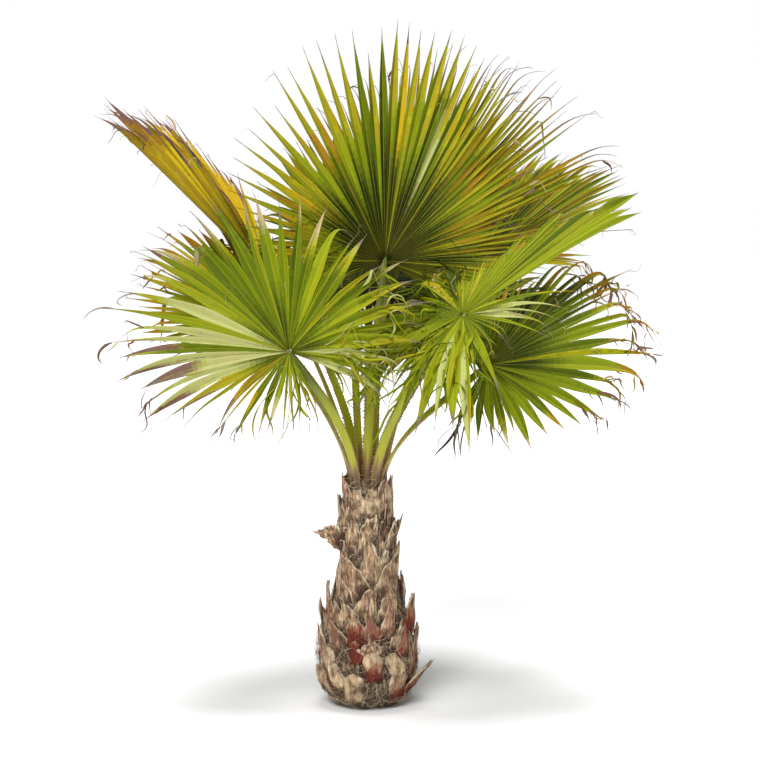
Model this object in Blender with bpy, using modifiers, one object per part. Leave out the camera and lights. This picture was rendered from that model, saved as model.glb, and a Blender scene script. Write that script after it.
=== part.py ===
"""A young Mexican fan palm: a swollen trunk clad in cut leaf bases, and twelve fan leaves
on long stalks.

Metres, +Z up. The origin is the centre of the flat cut under the trunk, at ground level,
and the plant's front looks along -Y. Each stalk and each fan blade is an object of its own.
"""

import math

import bmesh
import bpy
import numpy as np
from mathutils import Matrix, Vector
from mathutils.bvhtree import BVHTree

# Driving dimensions of the trunk
TRUNK_HEIGHT = 0.664
CUT_RADIUS = 0.070
BULB_RADIUS = 0.137
BULB_HEIGHT = 0.160
SHOULDER = 0.160
NECK_RADIUS = 0.071
TRUNK_SIDES = 26
TRUNK_RINGS = 10

# Leaf bases left on the trunk, in a golden-angle spiral
GOLDEN_ANGLE = math.radians(137.508)
BASE_COUNT = 46
BASE_LENGTH = 0.100
BASE_WIDTH = 0.074
BASE_THICKNESS = 0.015
BASE_TIP_SHARE = 0.22
LOWEST_BASE = 0.012
TOP_BASE_BELOW_RIM = 0.100
BASE_CROWDING = 1.15
BASE_UNEVEN = (0.85, 1.15)
NECK_WIDTH_SHARE = 0.8
NECK_LEAN, BULB_LEAN = 2, 9
LEAN_UNEVEN = 3
NECK_TWIST, BULB_TWIST = 28, 10
SEED = 11

# The ragged rim round the feet of the stalks
RIM_COUNT = 9
RIM_TURN = 0.3
RIM_FOOT_DEPTH = 0.075
RIM_LENGTH = 0.105
RIM_UNEVEN = (-0.012, 0.006)
RIM_WIDTH = 0.052
RIM_THICKNESS = 0.009
RIM_TWIST = 9

# Longer stubs that stand out: azimuth, height, lean in degrees, length, width, thickness
STUBS = [
    (180, 0.468, 45, 0.090, 0.050, 0.030),
    (0, 0.490, 20, 0.085, 0.045, 0.018),
    (-12, 0.030, 36, 0.150, 0.040, 0.014),
]

# Stalks: they stand in an outer and an inner ring in the trunk's top, half sizes first
OUTER_RING = 0.049
INNER_RING = 0.018
STALK_BASE = (0.0145, 0.0080)
STALK_TIP = (0.0105, 0.0060)
STALK_SIDES = 8
STALK_STATIONS = 7
STALK_END = 0.035
STALK_LEAN = 0.14
FIRST_HANDLE = 0.30
LAST_HANDLE = 0.35
RIB_PULL = 0.6

# Fan blades: the web is the joined inner part, beyond which the segments run free
SEGMENTS_PER_CIRCLE = 24
HUB_RADIUS = 0.010
WEB_SHARE = 0.50
BLADE_SHARE = 0.0102
PLEAT = 0.22
TAPER_POWER = 1.4
WEB_ROWS = 1
STRIP_ROWS = 2
LIMP_DROOP = 1.0
DROOP_ANGLE = 150
RIB_SHARE = 0.16
RIB_WAIST = (3, 0.7)
RIB_TIP = (0.3, 0.8)
TURN_STEP = 0.01
WELD = 0.00002

GAP = 0.0003
CLEARANCE = 0.013
SAMPLE_STEP = 0.010
SAMPLES_BESIDE = 3
SAMPLE_SPREAD = 1.1
HUB_ZONE = 0.060
UP = Vector((0, 0, 1))

# Each leaf has its hub, the way its middle rib points and its face looks, its reach, the
# angles its blade spans, how slim it is (share left at the sides, and over what angle),
# how far its sides fold up and how much it droops in the middle and at the sides. Pairs,
# and the last two values of droop, are for the halves at negative and positive angles.
LEAVES = {
    "front_left": dict(
        hub=(-0.218, -0.250, 1.055), rib=(-0.79, 0.22, 0.56), face=(-0.11, -0.97, 0.20), reach=0.560,
        span=(-165, 160), side_share=(0.50, 0.38), slim=(110, 72), fold=0,
        droop=(0.25, 0.15, 0.15), place=("outer", 228)),
    "front_right": dict(
        hub=(0.270, -0.250, 1.159), rib=(0.77, 0.21, 0.62), face=(-0.25, -0.71, 0.66), reach=0.610,
        span=(-184, 168), side_share=(0.52, 0.54), slim=(25, 25), fold=0,
        droop=(0.10, 1.10, 0.80), place=("outer", 300)),
    "top": dict(
        hub=(0.052, 0.020, 1.314), rib=(0.19, 0.09, 0.98), face=(0.20, -0.98, 0.05), reach=0.730,
        span=(-112, 125), side_share=(0.50, 0.50), slim=(80, 80), fold=4,
        droop=(0.03, 0.10, 0.10), place=("inner", 270)),
    "right": dict(
        hub=(0.350, -0.100, 1.012), rib=(0.90, 0.13, 0.42), face=(-0.10, -0.86, 0.50), reach=0.540,
        span=(-150, 145), side_share=(0.36, 0.36), slim=(70, 70), fold=0,
        droop=(0.15, 0.25, 0.25), place=("outer", 338)),
    "top_right": dict(
        hub=(0.095, 0.140, 1.313), rib=(0.71, 0.00, 0.71), face=(-0.19, -0.96, 0.19), reach=0.715,
        span=(-75, 75), side_share=(0.50, 0.50), slim=(90, 90), fold=0,
        droop=(0.05, 0.10, 0.10), place=("inner", 30)),
    "top_left": dict(
        hub=(-0.280, 0.100, 1.246), rib=(-0.71, 0.00, 0.71), face=(0.70, 0.00, 0.70), reach=0.750,
        span=(-90, 90), side_share=(0.45, 0.45), slim=(60, 60), fold=20,
        droop=(0.03, 0.05, 0.05), place=("outer", 158)),
    "upper_right": dict(
        hub=(0.338, 0.220, 1.314), rib=(0.86, 0.06, 0.50), face=(-0.31, -0.72, 0.62), reach=0.530,
        span=(-45, 115), side_share=(0.50, 0.50), slim=(70, 70), fold=5,
        droop=(0.10, 0.20, 0.20), place=("outer", 14)),
    "left": dict(
        hub=(-0.293, 0.000, 1.111), rib=(-0.75, 0.31, 0.59), face=(0.31, -0.62, 0.72), reach=0.460,
        span=(-110, 110), side_share=(0.50, 0.50), slim=(80, 80), fold=0,
        droop=(0.10, 0.20, 0.20), place=("outer", 193)),
    "back_left": dict(
        hub=(-0.225, 0.280, 1.212), rib=(-0.50, 0.64, 0.58), face=(0.30, -0.50, 0.81), reach=0.440,
        span=(-130, 130), side_share=(0.55, 0.55), slim=(80, 80), fold=0,
        droop=(0.25, 0.35, 0.35), place=("outer", 122)),
    "back": dict(
        hub=(0.005, 0.330, 1.252), rib=(0.05, 0.80, 0.60), face=(0.00, -0.55, 0.83), reach=0.560,
        span=(-130, 130), side_share=(0.55, 0.55), slim=(80, 80), fold=0,
        droop=(0.30, 0.35, 0.35), place=("outer", 86)),
    "back_right": dict(
        hub=(0.255, 0.270, 1.102), rib=(0.50, 0.70, 0.50), face=(-0.25, -0.45, 0.85), reach=0.500,
        span=(-130, 130), side_share=(0.55, 0.55), slim=(80, 80), fold=0,
        droop=(0.30, 0.35, 0.35), place=("outer", 50)),
    "top_back": dict(
        hub=(-0.055, 0.190, 1.352), rib=(-0.10, 0.35, 0.93), face=(0.25, -0.90, 0.40), reach=0.510,
        span=(-120, 120), side_share=(0.50, 0.50), slim=(80, 80), fold=4,
        droop=(0.05, 0.15, 0.15), place=("inner", 150)),
}


def clear_scene():
    for obj in list(bpy.data.objects):
        bpy.data.objects.remove(obj)


def new_collection(name):
    collection = bpy.data.collections.new(name)
    bpy.context.scene.collection.children.link(collection)
    return collection


def material(name, colour, roughness):
    made = bpy.data.materials.new(name)
    made.use_nodes = True
    shader = made.node_tree.nodes["Principled BSDF"]
    shader.inputs["Base Color"].default_value = (*colour, 1)
    shader.inputs["Roughness"].default_value = roughness
    shader.inputs["Metallic"].default_value = 0
    return made


def new_object(name, mesh, collection):
    obj = bpy.data.objects.new(name, mesh)
    collection.objects.link(obj)
    return obj


def mesh_of(bm, name):
    """The bmesh as a mesh, with its faces turned outwards."""
    bmesh.ops.recalc_face_normals(bm, faces=bm.faces)
    mesh = bpy.data.meshes.new(name)
    bm.to_mesh(mesh)
    bm.free()
    return mesh


def apply_modifiers(obj):
    graph = bpy.context.evaluated_depsgraph_get()
    mesh = bpy.data.meshes.new_from_object(obj.evaluated_get(graph))
    obj.modifiers.clear()
    obj.data = mesh


def keep_largest(obj):
    """Leave only the outer skin of the largest body: sealed hollows and scraps go."""
    bm = bmesh.new()
    bm.from_mesh(obj.data)
    left = set(bm.verts)
    bodies = []
    while left:
        body = {left.pop()}
        to_visit = list(body)
        while to_visit:
            vert = to_visit.pop()
            for edge in vert.link_edges:
                other = edge.other_vert(vert)
                if other in left:
                    left.remove(other)
                    body.add(other)
                    to_visit.append(other)
        bodies.append(body)
    bodies.sort(key=len)
    for body in bodies[:-1]:
        bmesh.ops.delete(bm, geom=list(body), context="VERTS")
    bm.to_mesh(obj.data)
    bm.free()


def fuse(obj, pieces):
    """Join every object of a collection to this one and remove them."""
    join = obj.modifiers.new("Join", "BOOLEAN")
    join.operation = "UNION"
    join.operand_type = "COLLECTION"
    join.collection = pieces
    join.solver = "EXACT"
    join.use_self = True
    bpy.context.view_layer.update()
    apply_modifiers(obj)
    keep_largest(obj)
    for piece in list(pieces.objects):
        bpy.data.objects.remove(piece)
    bpy.data.collections.remove(pieces)


def section_frame(at, along, side, half_width, half_thickness):
    """Where a section's unit circle goes: across `side`, square to `along`."""
    side = (side - along * side.dot(along)).normalized()
    thick = along.cross(side)
    frame = Matrix((side * half_width, thick * half_thickness, along)).transposed().to_4x4()
    frame.translation = at
    return frame


def loft(name, frames, collection):
    """A closed limb through oval sections, one for each frame."""
    bm = bmesh.new()
    rings = []
    last = len(frames) - 1
    for index, frame in enumerate(frames):
        made = bmesh.ops.create_circle(
            bm, cap_ends=index in (0, last), segments=STALK_SIDES, radius=1, matrix=frame)
        ring = set(made["verts"])
        rings.append([edge for edge in bm.edges if ring.issuperset(edge.verts)])
    for lower, upper in zip(rings, rings[1:]):
        bmesh.ops.bridge_loops(bm, edges=lower + upper)
    return new_object(name, mesh_of(bm, name), collection)


def trunk_radius(height):
    """Quarter ellipse from the cut up to the bulb, then a bell curve into the neck."""
    if height < BULB_HEIGHT:
        drop = (BULB_HEIGHT - height) / BULB_HEIGHT
        return CUT_RADIUS + (BULB_RADIUS - CUT_RADIUS) * math.sqrt(1 - drop * drop)
    rise = (height - BULB_HEIGHT) / SHOULDER
    return NECK_RADIUS + (BULB_RADIUS - NECK_RADIUS) * math.exp(-rise * rise)


def trunk_core(collection):
    """The trunk's body, turned from its profile."""
    heights = [TRUNK_HEIGHT * (1 - ring / TRUNK_RINGS) for ring in range(TRUNK_RINGS + 1)]
    profile = [(0, TRUNK_HEIGHT)] + [(trunk_radius(z), z) for z in heights] + [(0, 0)]
    mesh = bpy.data.meshes.new("trunk")
    points = [(r, 0, z) for r, z in profile]
    mesh.from_pydata(points, [(i, i + 1) for i in range(len(points) - 1)], [])
    obj = new_object("trunk", mesh, collection)
    turn = obj.modifiers.new("Turn", "SCREW")
    turn.steps = TRUNK_SIDES
    turn.render_steps = TRUNK_SIDES
    turn.use_merge_vertices = True
    turn.merge_threshold = 0.0001
    apply_modifiers(obj)
    return obj


def leaf_base(name, azimuth, height, lean, sideways, length, width, thickness, collection):
    """A cut leaf base: a flat tapering wedge, its foot sunk in the trunk."""
    outward = Vector((math.cos(azimuth), math.sin(azimuth), 0))
    around = UP.cross(outward)
    along = UP * math.cos(lean) + outward * math.sin(lean)
    along = (along * math.cos(sideways) + around * math.sin(sideways)).normalized()
    foot = outward * (trunk_radius(height) - thickness / 2) + UP * height
    frame = section_frame(foot + along * length / 2, along, around, width / 2, thickness / 2)
    bm = bmesh.new()
    bmesh.ops.create_cone(
        bm, cap_ends=True, segments=6, radius1=1, radius2=BASE_TIP_SHARE, depth=length, matrix=frame)
    return new_object(name, mesh_of(bm, name), collection)


def trunk(collection):
    """The core with its spiral of leaf bases and the ragged rim round the stalks."""
    core = trunk_core(collection)
    bases = new_collection("leaf_bases")
    random = np.random.default_rng(SEED)
    top = TRUNK_HEIGHT - RIM_FOOT_DEPTH
    for index in range(BASE_COUNT):
        share = index / (BASE_COUNT - 1)
        height = LOWEST_BASE + (top - TOP_BASE_BELOW_RIM) * share ** BASE_CROWDING
        swell = (trunk_radius(height) - NECK_RADIUS) / (BULB_RADIUS - NECK_RADIUS)
        lean = NECK_LEAN + (BULB_LEAN - NECK_LEAN) * swell + random.uniform(-LEAN_UNEVEN, LEAN_UNEVEN)
        twist = NECK_TWIST + (BULB_TWIST - NECK_TWIST) * swell
        sideways = math.radians(random.uniform(-twist, twist))
        size = random.uniform(*BASE_UNEVEN)
        width = BASE_WIDTH * (NECK_WIDTH_SHARE + (1 - NECK_WIDTH_SHARE) * swell)
        leaf_base(
            f"base_{index}", index * GOLDEN_ANGLE, height, math.radians(lean), sideways,
            BASE_LENGTH * size, width * size, BASE_THICKNESS, bases)
    for index in range(RIM_COUNT):
        azimuth = math.tau * (index + RIM_TURN) / RIM_COUNT
        length = RIM_LENGTH + random.uniform(*RIM_UNEVEN)
        sideways = math.radians(random.uniform(-RIM_TWIST, RIM_TWIST))
        leaf_base(
            f"rim_{index}", azimuth, top, math.radians(NECK_LEAN), sideways, length,
            RIM_WIDTH, RIM_THICKNESS, bases)
    for index, (azimuth, height, lean, length, width, thickness) in enumerate(STUBS):
        leaf_base(
            f"stub_{index}", math.radians(azimuth), height, math.radians(lean), 0, length,
            width, thickness, bases)
    fuse(core, bases)
    return core


class Fan:
    """One leaf's blade: the frame at its hub and the rule that its segments follow."""

    def __init__(self, leaf):
        self.hub = Vector(leaf["hub"])
        self.rib = Vector(leaf["rib"]).normalized()
        face = Vector(leaf["face"])
        self.face = (face - self.rib * face.dot(self.rib)).normalized()
        self.side = self.face.cross(self.rib)
        self.leaf = leaf
        low, high = leaf["span"]
        self.count = round((high - low) / 360 * SEGMENTS_PER_CIRCLE)
        step = math.radians(high - low) / self.count
        self.half_step = step / 2
        self.edges = [math.radians(low) + step * i for i in range(self.count + 1)]
        self.middles = [angle + self.half_step for angle in self.edges[:-1]]

    def direction(self, angle):
        """The way a segment at this angle from the middle rib leaves the hub."""
        fold = math.radians(self.leaf["fold"])
        side = self.side * math.cos(fold) * math.sin(angle)
        return self.rib * math.cos(angle) + side + self.face * math.sin(fold) * abs(math.sin(angle))

    def across(self, angle):
        ahead = self.direction(angle + TURN_STEP)
        behind = self.direction(angle - TURN_STEP)
        return (ahead - behind).normalized()

    def reach(self, angle):
        """Longest at the middle rib, falling off to the side share as a bell curve."""
        half = 0 if angle < 0 else 1
        share = self.leaf["side_share"][half]
        off = angle / math.radians(self.leaf["slim"][half])
        return self.leaf["reach"] * (share + (1 - share) * math.exp(-off * off))

    def point(self, angle, distance, lift=0.0):
        """The point that far out along a segment, sunk by its droop as the cube of its share."""
        full = self.reach(angle)
        middle, *sides = self.leaf["droop"]
        side = sides[0 if angle < 0 else 1]
        droop = middle + side * abs(angle) / math.radians(DROOP_ANGLE)
        sag = droop * full * (distance / full) ** 3 / 3
        return self.hub + self.direction(angle) * distance - UP * sag + self.face * lift

    def segment_row(self, index, share, limit):
        """Left edge, middle and right edge of a free segment, at this share of its free part."""
        angle = self.middles[index]
        web = WEB_SHARE * limit
        distance = web + (limit - web) * share
        half = web * self.half_step * (1 - share ** TAPER_POWER)
        middle = self.point(angle, distance, -PLEAT * half / 2)
        reach = self.across(angle) * half
        lift = self.face * PLEAT * half
        return middle - reach + lift, middle, middle + reach + lift

    def free_length(self, index, obstacles):
        """How far this segment runs before it comes near another solid."""
        angle = self.middles[index]
        full = self.reach(angle)
        distance = HUB_ZONE
        while distance < full:
            wide = min(distance, WEB_SHARE * full) * self.half_step * SAMPLE_SPREAD
            middle = self.point(angle, distance)
            for part in range(-SAMPLES_BESIDE, SAMPLES_BESIDE + 1):
                spot = middle + self.across(angle) * wide * part / SAMPLES_BESIDE
                if any(tree.find_nearest(spot, CLEARANCE)[0] is not None for tree in obstacles):
                    return max(distance - SAMPLE_STEP, HUB_ZONE)
            distance += SAMPLE_STEP
        return full


def lay_grid(bm, columns, rows, place):
    """Add a grid of faces and move each of its points to place(column, row)."""
    made = bmesh.ops.create_grid(bm, x_segments=columns, y_segments=rows, size=1)
    for vert in made["verts"]:
        column = round((vert.co.x + 1) / 2 * columns)
        row = round((vert.co.y + 1) / 2 * rows)
        vert.co = place(column, row)


def blade_sheet(fan, limits):
    """The blade's middle surface: a pleated web, and a tapering strip for each segment."""
    bm = bmesh.new()
    edge_limits = []
    for index, angle in enumerate(fan.edges):
        beside = limits[max(index - 1, 0):index + 1]
        edge_limits.append(min([fan.reach(angle)] + beside))

    def place_web(column, row):
        index = column // 2
        on_edge = column % 2 == 0
        angle = fan.edges[index] if on_edge else fan.middles[index]
        limit = edge_limits[index] if on_edge else limits[index]
        distance = HUB_RADIUS + (WEB_SHARE * limit - HUB_RADIUS) * row / WEB_ROWS
        half = distance * fan.half_step
        return fan.point(angle, distance, PLEAT * half / 2 * (1 if on_edge else -1))

    lay_grid(bm, 2 * fan.count, WEB_ROWS, place_web)
    limp = max(fan.leaf["droop"]) > LIMP_DROOP
    rows = STRIP_ROWS + 1 if limp else STRIP_ROWS
    for index, limit in enumerate(limits):

        def place_strip(column, row):
            if row == 0:
                return place_web(2 * index + column, WEB_ROWS)
            return fan.segment_row(index, row / rows, limit)[column]

        lay_grid(bm, 2, rows, place_strip)
    bmesh.ops.remove_doubles(bm, verts=bm.verts, dist=WELD)
    return bm


def blade(name, fan, stalk_end, limits, collection):
    """The blade as one solid: the sheet with its thickness, and the rib that carries it."""
    obj = new_object(name, mesh_of(blade_sheet(fan, limits), name), collection)
    shell = obj.modifiers.new("Thickness", "SOLIDIFY")
    shell.thickness = BLADE_SHARE * fan.leaf["reach"]
    shell.offset = 0
    apply_modifiers(obj)
    foot, along = stalk_end
    wide, thick = STALK_TIP
    root = foot + along * GAP
    tip_distance = RIB_SHARE * fan.leaf["reach"]
    turn = (along + fan.rib).normalized()
    waist_widths_out, waist_width = RIB_WAIST
    tip_width, tip_thickness = RIB_TIP
    stations = [
        (root, along, wide, thick),
        (fan.hub - turn * wide / 2, turn, wide, thick),
        (fan.hub + fan.rib * wide * waist_widths_out, fan.rib, wide * waist_width, thick),
        (fan.point(0, tip_distance), fan.rib, wide * tip_width, thick * tip_thickness),
    ]
    frames = [section_frame(at, way, fan.side, w, t) for at, way, w, t in stations]
    ribs = new_collection("ribs")
    loft(name + "_rib", frames, ribs)
    fuse(obj, ribs)
    return obj


def stalk_route(leaf, fan):
    """A Bezier curve from the ring in the trunk's top to the blade's hub: points and ways."""
    ring, degrees = leaf["place"]
    azimuth = math.radians(degrees)
    outward = Vector((math.cos(azimuth), math.sin(azimuth), 0))
    start = outward * (OUTER_RING if ring == "outer" else INNER_RING) + UP * (TRUNK_HEIGHT + GAP)
    line = (fan.hub - start).normalized()
    end_way = (line + fan.rib * RIB_PULL).normalized()
    end = fan.hub - end_way * STALK_END
    length = (end - start).length
    first = start + (UP + outward * STALK_LEAN) * length * FIRST_HANDLE
    handles = [start, first, end - end_way * length * LAST_HANDLE, end]
    route = []
    for station in range(STALK_STATIONS):
        t = station / (STALK_STATIONS - 1)
        s = 1 - t
        weights = (s * s * s, 3 * s * s * t, 3 * s * t * t, t * t * t)
        at = sum((handle * weight for handle, weight in zip(handles, weights)), Vector())
        slopes = (-3 * s * s, 3 * s * s - 6 * s * t, 6 * s * t - 3 * t * t, 3 * t * t)
        way = sum((handle * slope for handle, slope in zip(handles, slopes)), Vector())
        route.append((t, at, way.normalized()))
    route[0] = (0, start, UP)
    around = UP.cross(outward)
    if around.dot(fan.side) < 0:
        around = -around
    return route, around


def stalk(name, leaf, fan, collection):
    """The tapering stalk of one leaf, and where its flat upper end lies."""
    route, around = stalk_route(leaf, fan)
    frames = []
    for t, at, way in route:
        side = around * (1 - t) + fan.side * t
        wide = STALK_BASE[0] + (STALK_TIP[0] - STALK_BASE[0]) * t
        thick = STALK_BASE[1] + (STALK_TIP[1] - STALK_BASE[1]) * t
        frames.append(section_frame(at, way, side, wide, thick))
    obj = loft(name, frames, collection)
    return obj, (route[-1][1], route[-1][2])


def tree_of(obj):
    points = [obj.matrix_world @ vert.co for vert in obj.data.vertices]
    return BVHTree.FromPolygons(points, [tuple(face.vertices) for face in obj.data.polygons])


def main():
    clear_scene()
    palm = new_collection("mexican_fan_palm")
    bark = material("bark", (0.30, 0.20, 0.12), 0.85)
    stalk_green = material("stalk_green", (0.34, 0.40, 0.07), 0.45)
    blade_green = material("blade_green", (0.16, 0.24, 0.03), 0.50)
    blade_gold = material("blade_gold", (0.52, 0.36, 0.04), 0.55)

    body = trunk(palm)
    body.data.materials.append(bark)
    obstacles = [tree_of(body)]

    fans = {name: Fan(leaf) for name, leaf in LEAVES.items()}
    ends = {}
    for name, leaf in LEAVES.items():
        obj, ends[name] = stalk(f"stalk_{name}", leaf, fans[name], palm)
        obj.data.materials.append(stalk_green)
        obstacles.append(tree_of(obj))

    for name, fan in fans.items():
        limits = [fan.free_length(index, obstacles) for index in range(fan.count)]
        obj = blade(f"blade_{name}", fan, ends[name], limits, palm)
        obj.data.materials.append(blade_gold if name == "top_left" else blade_green)
        obstacles.append(tree_of(obj))


main()
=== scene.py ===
# %% [markdown]
# # A young Mexican fan palm
#
# The plant is a swollen trunk clad in cut leaf bases, with a crown of twelve fan leaves. The
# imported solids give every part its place: this lesson keeps the places and makes the looks.
# Each fan is grown again by the rule that made its solid, with many more segments, each one a
# folded strip with a rib, a drooping tip and its own tints.

# %% Load the frame
import math

import bmesh
import bpy
import numpy as np
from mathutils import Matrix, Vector
from mathutils.bvhtree import BVHTree


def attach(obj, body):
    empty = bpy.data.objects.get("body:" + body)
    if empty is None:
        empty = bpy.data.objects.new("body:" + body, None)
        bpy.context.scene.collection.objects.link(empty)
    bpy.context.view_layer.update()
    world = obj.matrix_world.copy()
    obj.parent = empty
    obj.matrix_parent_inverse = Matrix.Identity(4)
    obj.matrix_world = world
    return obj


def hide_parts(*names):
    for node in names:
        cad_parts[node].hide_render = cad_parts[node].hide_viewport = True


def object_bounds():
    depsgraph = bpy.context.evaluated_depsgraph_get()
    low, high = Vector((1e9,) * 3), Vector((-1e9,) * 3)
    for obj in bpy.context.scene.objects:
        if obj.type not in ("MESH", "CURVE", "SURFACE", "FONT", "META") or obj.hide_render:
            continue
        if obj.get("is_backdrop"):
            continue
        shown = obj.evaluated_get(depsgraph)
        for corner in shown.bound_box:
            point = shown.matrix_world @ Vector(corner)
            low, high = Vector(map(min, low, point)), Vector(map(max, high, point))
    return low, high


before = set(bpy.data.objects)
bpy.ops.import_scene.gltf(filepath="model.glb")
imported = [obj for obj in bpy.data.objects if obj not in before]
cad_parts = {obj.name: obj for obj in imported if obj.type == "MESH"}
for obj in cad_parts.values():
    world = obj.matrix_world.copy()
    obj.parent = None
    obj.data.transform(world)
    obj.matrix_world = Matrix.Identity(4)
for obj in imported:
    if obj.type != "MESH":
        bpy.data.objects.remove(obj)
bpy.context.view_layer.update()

UP = np.array([0.0, 0.0, 1.0])
TURN = 2 * math.pi

# %% [markdown]
# ## The camera
#
# The plant is seen from 5.2 m away and a little above its middle, through a long lens. A long
# lens far away keeps the fans in front from looking larger than those behind, which a wide
# lens close by would do. The camera comes first, because every later step is judged through it.

# %% Camera
CAMERA_AT = Vector((0.0375, -5.2, 1.242))
CAMERA_AIM = Vector((0.0375, 0.0, 0.963))
LENS_MM = 83.5

lens = bpy.data.cameras.new("camera")
lens.lens = LENS_MM
lens.sensor_width = 36.0
camera = bpy.data.objects.new("camera", lens)
camera.location = CAMERA_AT
camera.rotation_euler = (CAMERA_AIM - CAMERA_AT).to_track_quat("-Z", "Y").to_euler()
bpy.context.scene.collection.objects.link(camera)
bpy.context.scene.camera = camera
print("camera", round((CAMERA_AIM - CAMERA_AT).length, 2), "m away")

# %% [markdown]
# ## Light and world
#
# The light is that of a studio: one wide soft light overhead, which draws the shadow in under
# the crown, and one above and to the left of the camera, which gives the leaves their bright and
# dark pleats. Both are sun lamps with a wide disc, because they light the floor evenly to its
# far end, which an area lamp nearby would not. The world is white for the camera and dimmer for
# the leaves, so that the lamps still shape them.

# %% Light and world
SKY_SEEN = 1.0
SKY_LIGHT = 0.26
OVERHEAD = dict(way=(0.03, 0.04, -1.0), strength=2.7, disc=22)
SIDE_LIGHT = dict(way=(0.20, 0.84, -0.66), strength=2.9, disc=30)


def sun_lamp(name, way, strength, disc):
    """A sun that shines along a vector. A wide disc makes soft shadows."""
    lamp = bpy.data.lights.new(name, "SUN")
    lamp.energy = strength
    lamp.angle = math.radians(disc)
    obj = bpy.data.objects.new(name, lamp)
    obj.rotation_euler = Vector(way).to_track_quat("-Z", "Y").to_euler()
    bpy.context.scene.collection.objects.link(obj)


def white_world():
    """A white sky that lights the plant less than it shows to the camera."""
    world = bpy.data.worlds.new("studio")
    world.use_nodes = True
    tree = world.node_tree
    tree.nodes.clear()
    out = tree.nodes.new("ShaderNodeOutputWorld")
    mix = tree.nodes.new("ShaderNodeMixShader")
    path = tree.nodes.new("ShaderNodeLightPath")
    tree.links.new(path.outputs["Is Camera Ray"], mix.inputs["Fac"])
    for socket, strength in ((1, SKY_LIGHT), (2, SKY_SEEN)):
        sky = tree.nodes.new("ShaderNodeBackground")
        sky.inputs["Color"].default_value = (1, 1, 1, 1)
        sky.inputs["Strength"].default_value = strength
        tree.links.new(sky.outputs["Background"], mix.inputs[socket])
    tree.links.new(mix.outputs["Shader"], out.inputs["Surface"])
    bpy.context.scene.world = world


sun_lamp("overhead", **OVERHEAD)
sun_lamp("side", **SIDE_LIGHT)
white_world()
bpy.context.scene.view_settings.view_transform = "Standard"
print("two lamps, and a sky of strength", SKY_LIGHT)

# %% [markdown]
# ## Helpers for whole arrays
#
# A palm is a few shapes repeated hundreds of times. Moving vertices one by one in Python would
# be slow, so each shape is a grid of points worked out at once with numpy: the first axis
# counts the copies, and the next two are the rows and columns of one copy.

# %% Array helpers
TINY = 1e-6


def unit(vectors):
    """Each vector divided by its own length."""
    return vectors / np.maximum(np.linalg.norm(vectors, axis=-1, keepdims=True), 1e-12)


def dot(a, b):
    """The dot product over the last axis, which is kept."""
    return np.sum(a * b, axis=-1, keepdims=True)


def ramp(x, low, high):
    """0 below low, 1 above high, and 3t^2 - 2t^3 between them."""
    t = np.clip((x - low) / (high - low), 0, 1)
    return t * t * (3 - 2 * t)


def ripples(points, wavelength, seed, waves=7):
    """Smooth noise near -1 to 1: the mean of sine waves that run in random ways."""
    random = np.random.default_rng(seed)
    ways = unit(random.normal(size=(waves, 3))) * TURN / wavelength
    phases = random.uniform(0, TURN, waves)
    return np.sin(points @ ways.T + phases).sum(axis=-1) / math.sqrt(waves)


# %% [markdown]
# ## Pieces from grids
#
# A mesh is a list of points and a list of faces. Faces could be made one at a time with an
# editing tool, but a grid's faces follow a rule, so that they too come as one array. Where a
# grid closes on itself or on a pole, points that coincide are merged afterwards.

# %% Pieces from grids
def grid_quads(count, rows, columns):
    """Faces of `count` grids stored one after another, each joining a point to its right and
    upper neighbours."""
    row, column = np.meshgrid(np.arange(rows - 1), np.arange(columns - 1), indexing="ij")
    corner = row * columns + column
    quad = np.stack([corner, corner + 1, corner + columns + 1, corner + columns], axis=-1)
    start = np.arange(count)[:, None, None, None] * rows * columns
    return start + quad


def new_piece(name, points, materials, tints=None, uv=None, values=None):
    """One mesh from grids of points shaped (copies, rows, columns, 3). Tints gives each face its
    material, uv says how far across and along each point lies, and values holds more named
    numbers. Each of them is spread over the grid where it has fewer values."""
    count, rows, columns = shape = points.shape[:3]
    quads = grid_quads(count, rows, columns).reshape(-1, 4)
    mesh = bpy.data.meshes.new(name)
    mesh.from_pydata(points.reshape(-1, 3), [], quads)
    for made in materials:
        mesh.materials.append(made)
    if tints is not None:
        dealt = np.broadcast_to(tints, (count, rows - 1, columns - 1))
        mesh.polygons.foreach_set("material_index", dealt.ravel().astype(np.int32))
    if uv is not None:
        places = np.stack([np.broadcast_to(part, shape) for part in uv], axis=-1).reshape(-1, 2)
        mesh.uv_layers.new(name="UVMap").uv.foreach_set("vector", places[quads.ravel()].ravel())
    for key, numbers in (values or {}).items():
        numbers = np.broadcast_to(numbers, shape).ravel()
        mesh.attributes.new(key, "FLOAT", "POINT").data.foreach_set("value", numbers)
    mesh.shade_smooth()
    obj = bpy.data.objects.new(name, mesh)
    bpy.context.scene.collection.objects.link(obj)
    return obj


def weld(obj, distance=0.00002):
    """Close seams and poles, and turn every face outwards."""
    work = bmesh.new()
    work.from_mesh(obj.data)
    bmesh.ops.remove_doubles(work, verts=work.verts, dist=distance)
    bmesh.ops.dissolve_degenerate(work, edges=work.edges, dist=distance / 10)
    bmesh.ops.recalc_face_normals(work, faces=work.faces)
    work.to_mesh(obj.data)
    work.free()


# %% [markdown]
# ## The floor
#
# The plant stands on white. A floor of one large pale sheet takes its shadow, so far-reaching
# that its edge is lost in the white world. It lies a millimetre under the cut of the trunk, so
# that the two don't flicker into each other.

# %% Floor
FLOOR_HALF = 60.0
FLOOR_BELOW = 0.001


def plain(name, colour, roughness):
    """A Principled material with one colour."""
    made = bpy.data.materials.new(name)
    made.use_nodes = True
    shader = made.node_tree.nodes["Principled BSDF"]
    shader.inputs["Base Color"].default_value = (*colour, 1)
    shader.inputs["Roughness"].default_value = roughness
    return made


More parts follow.
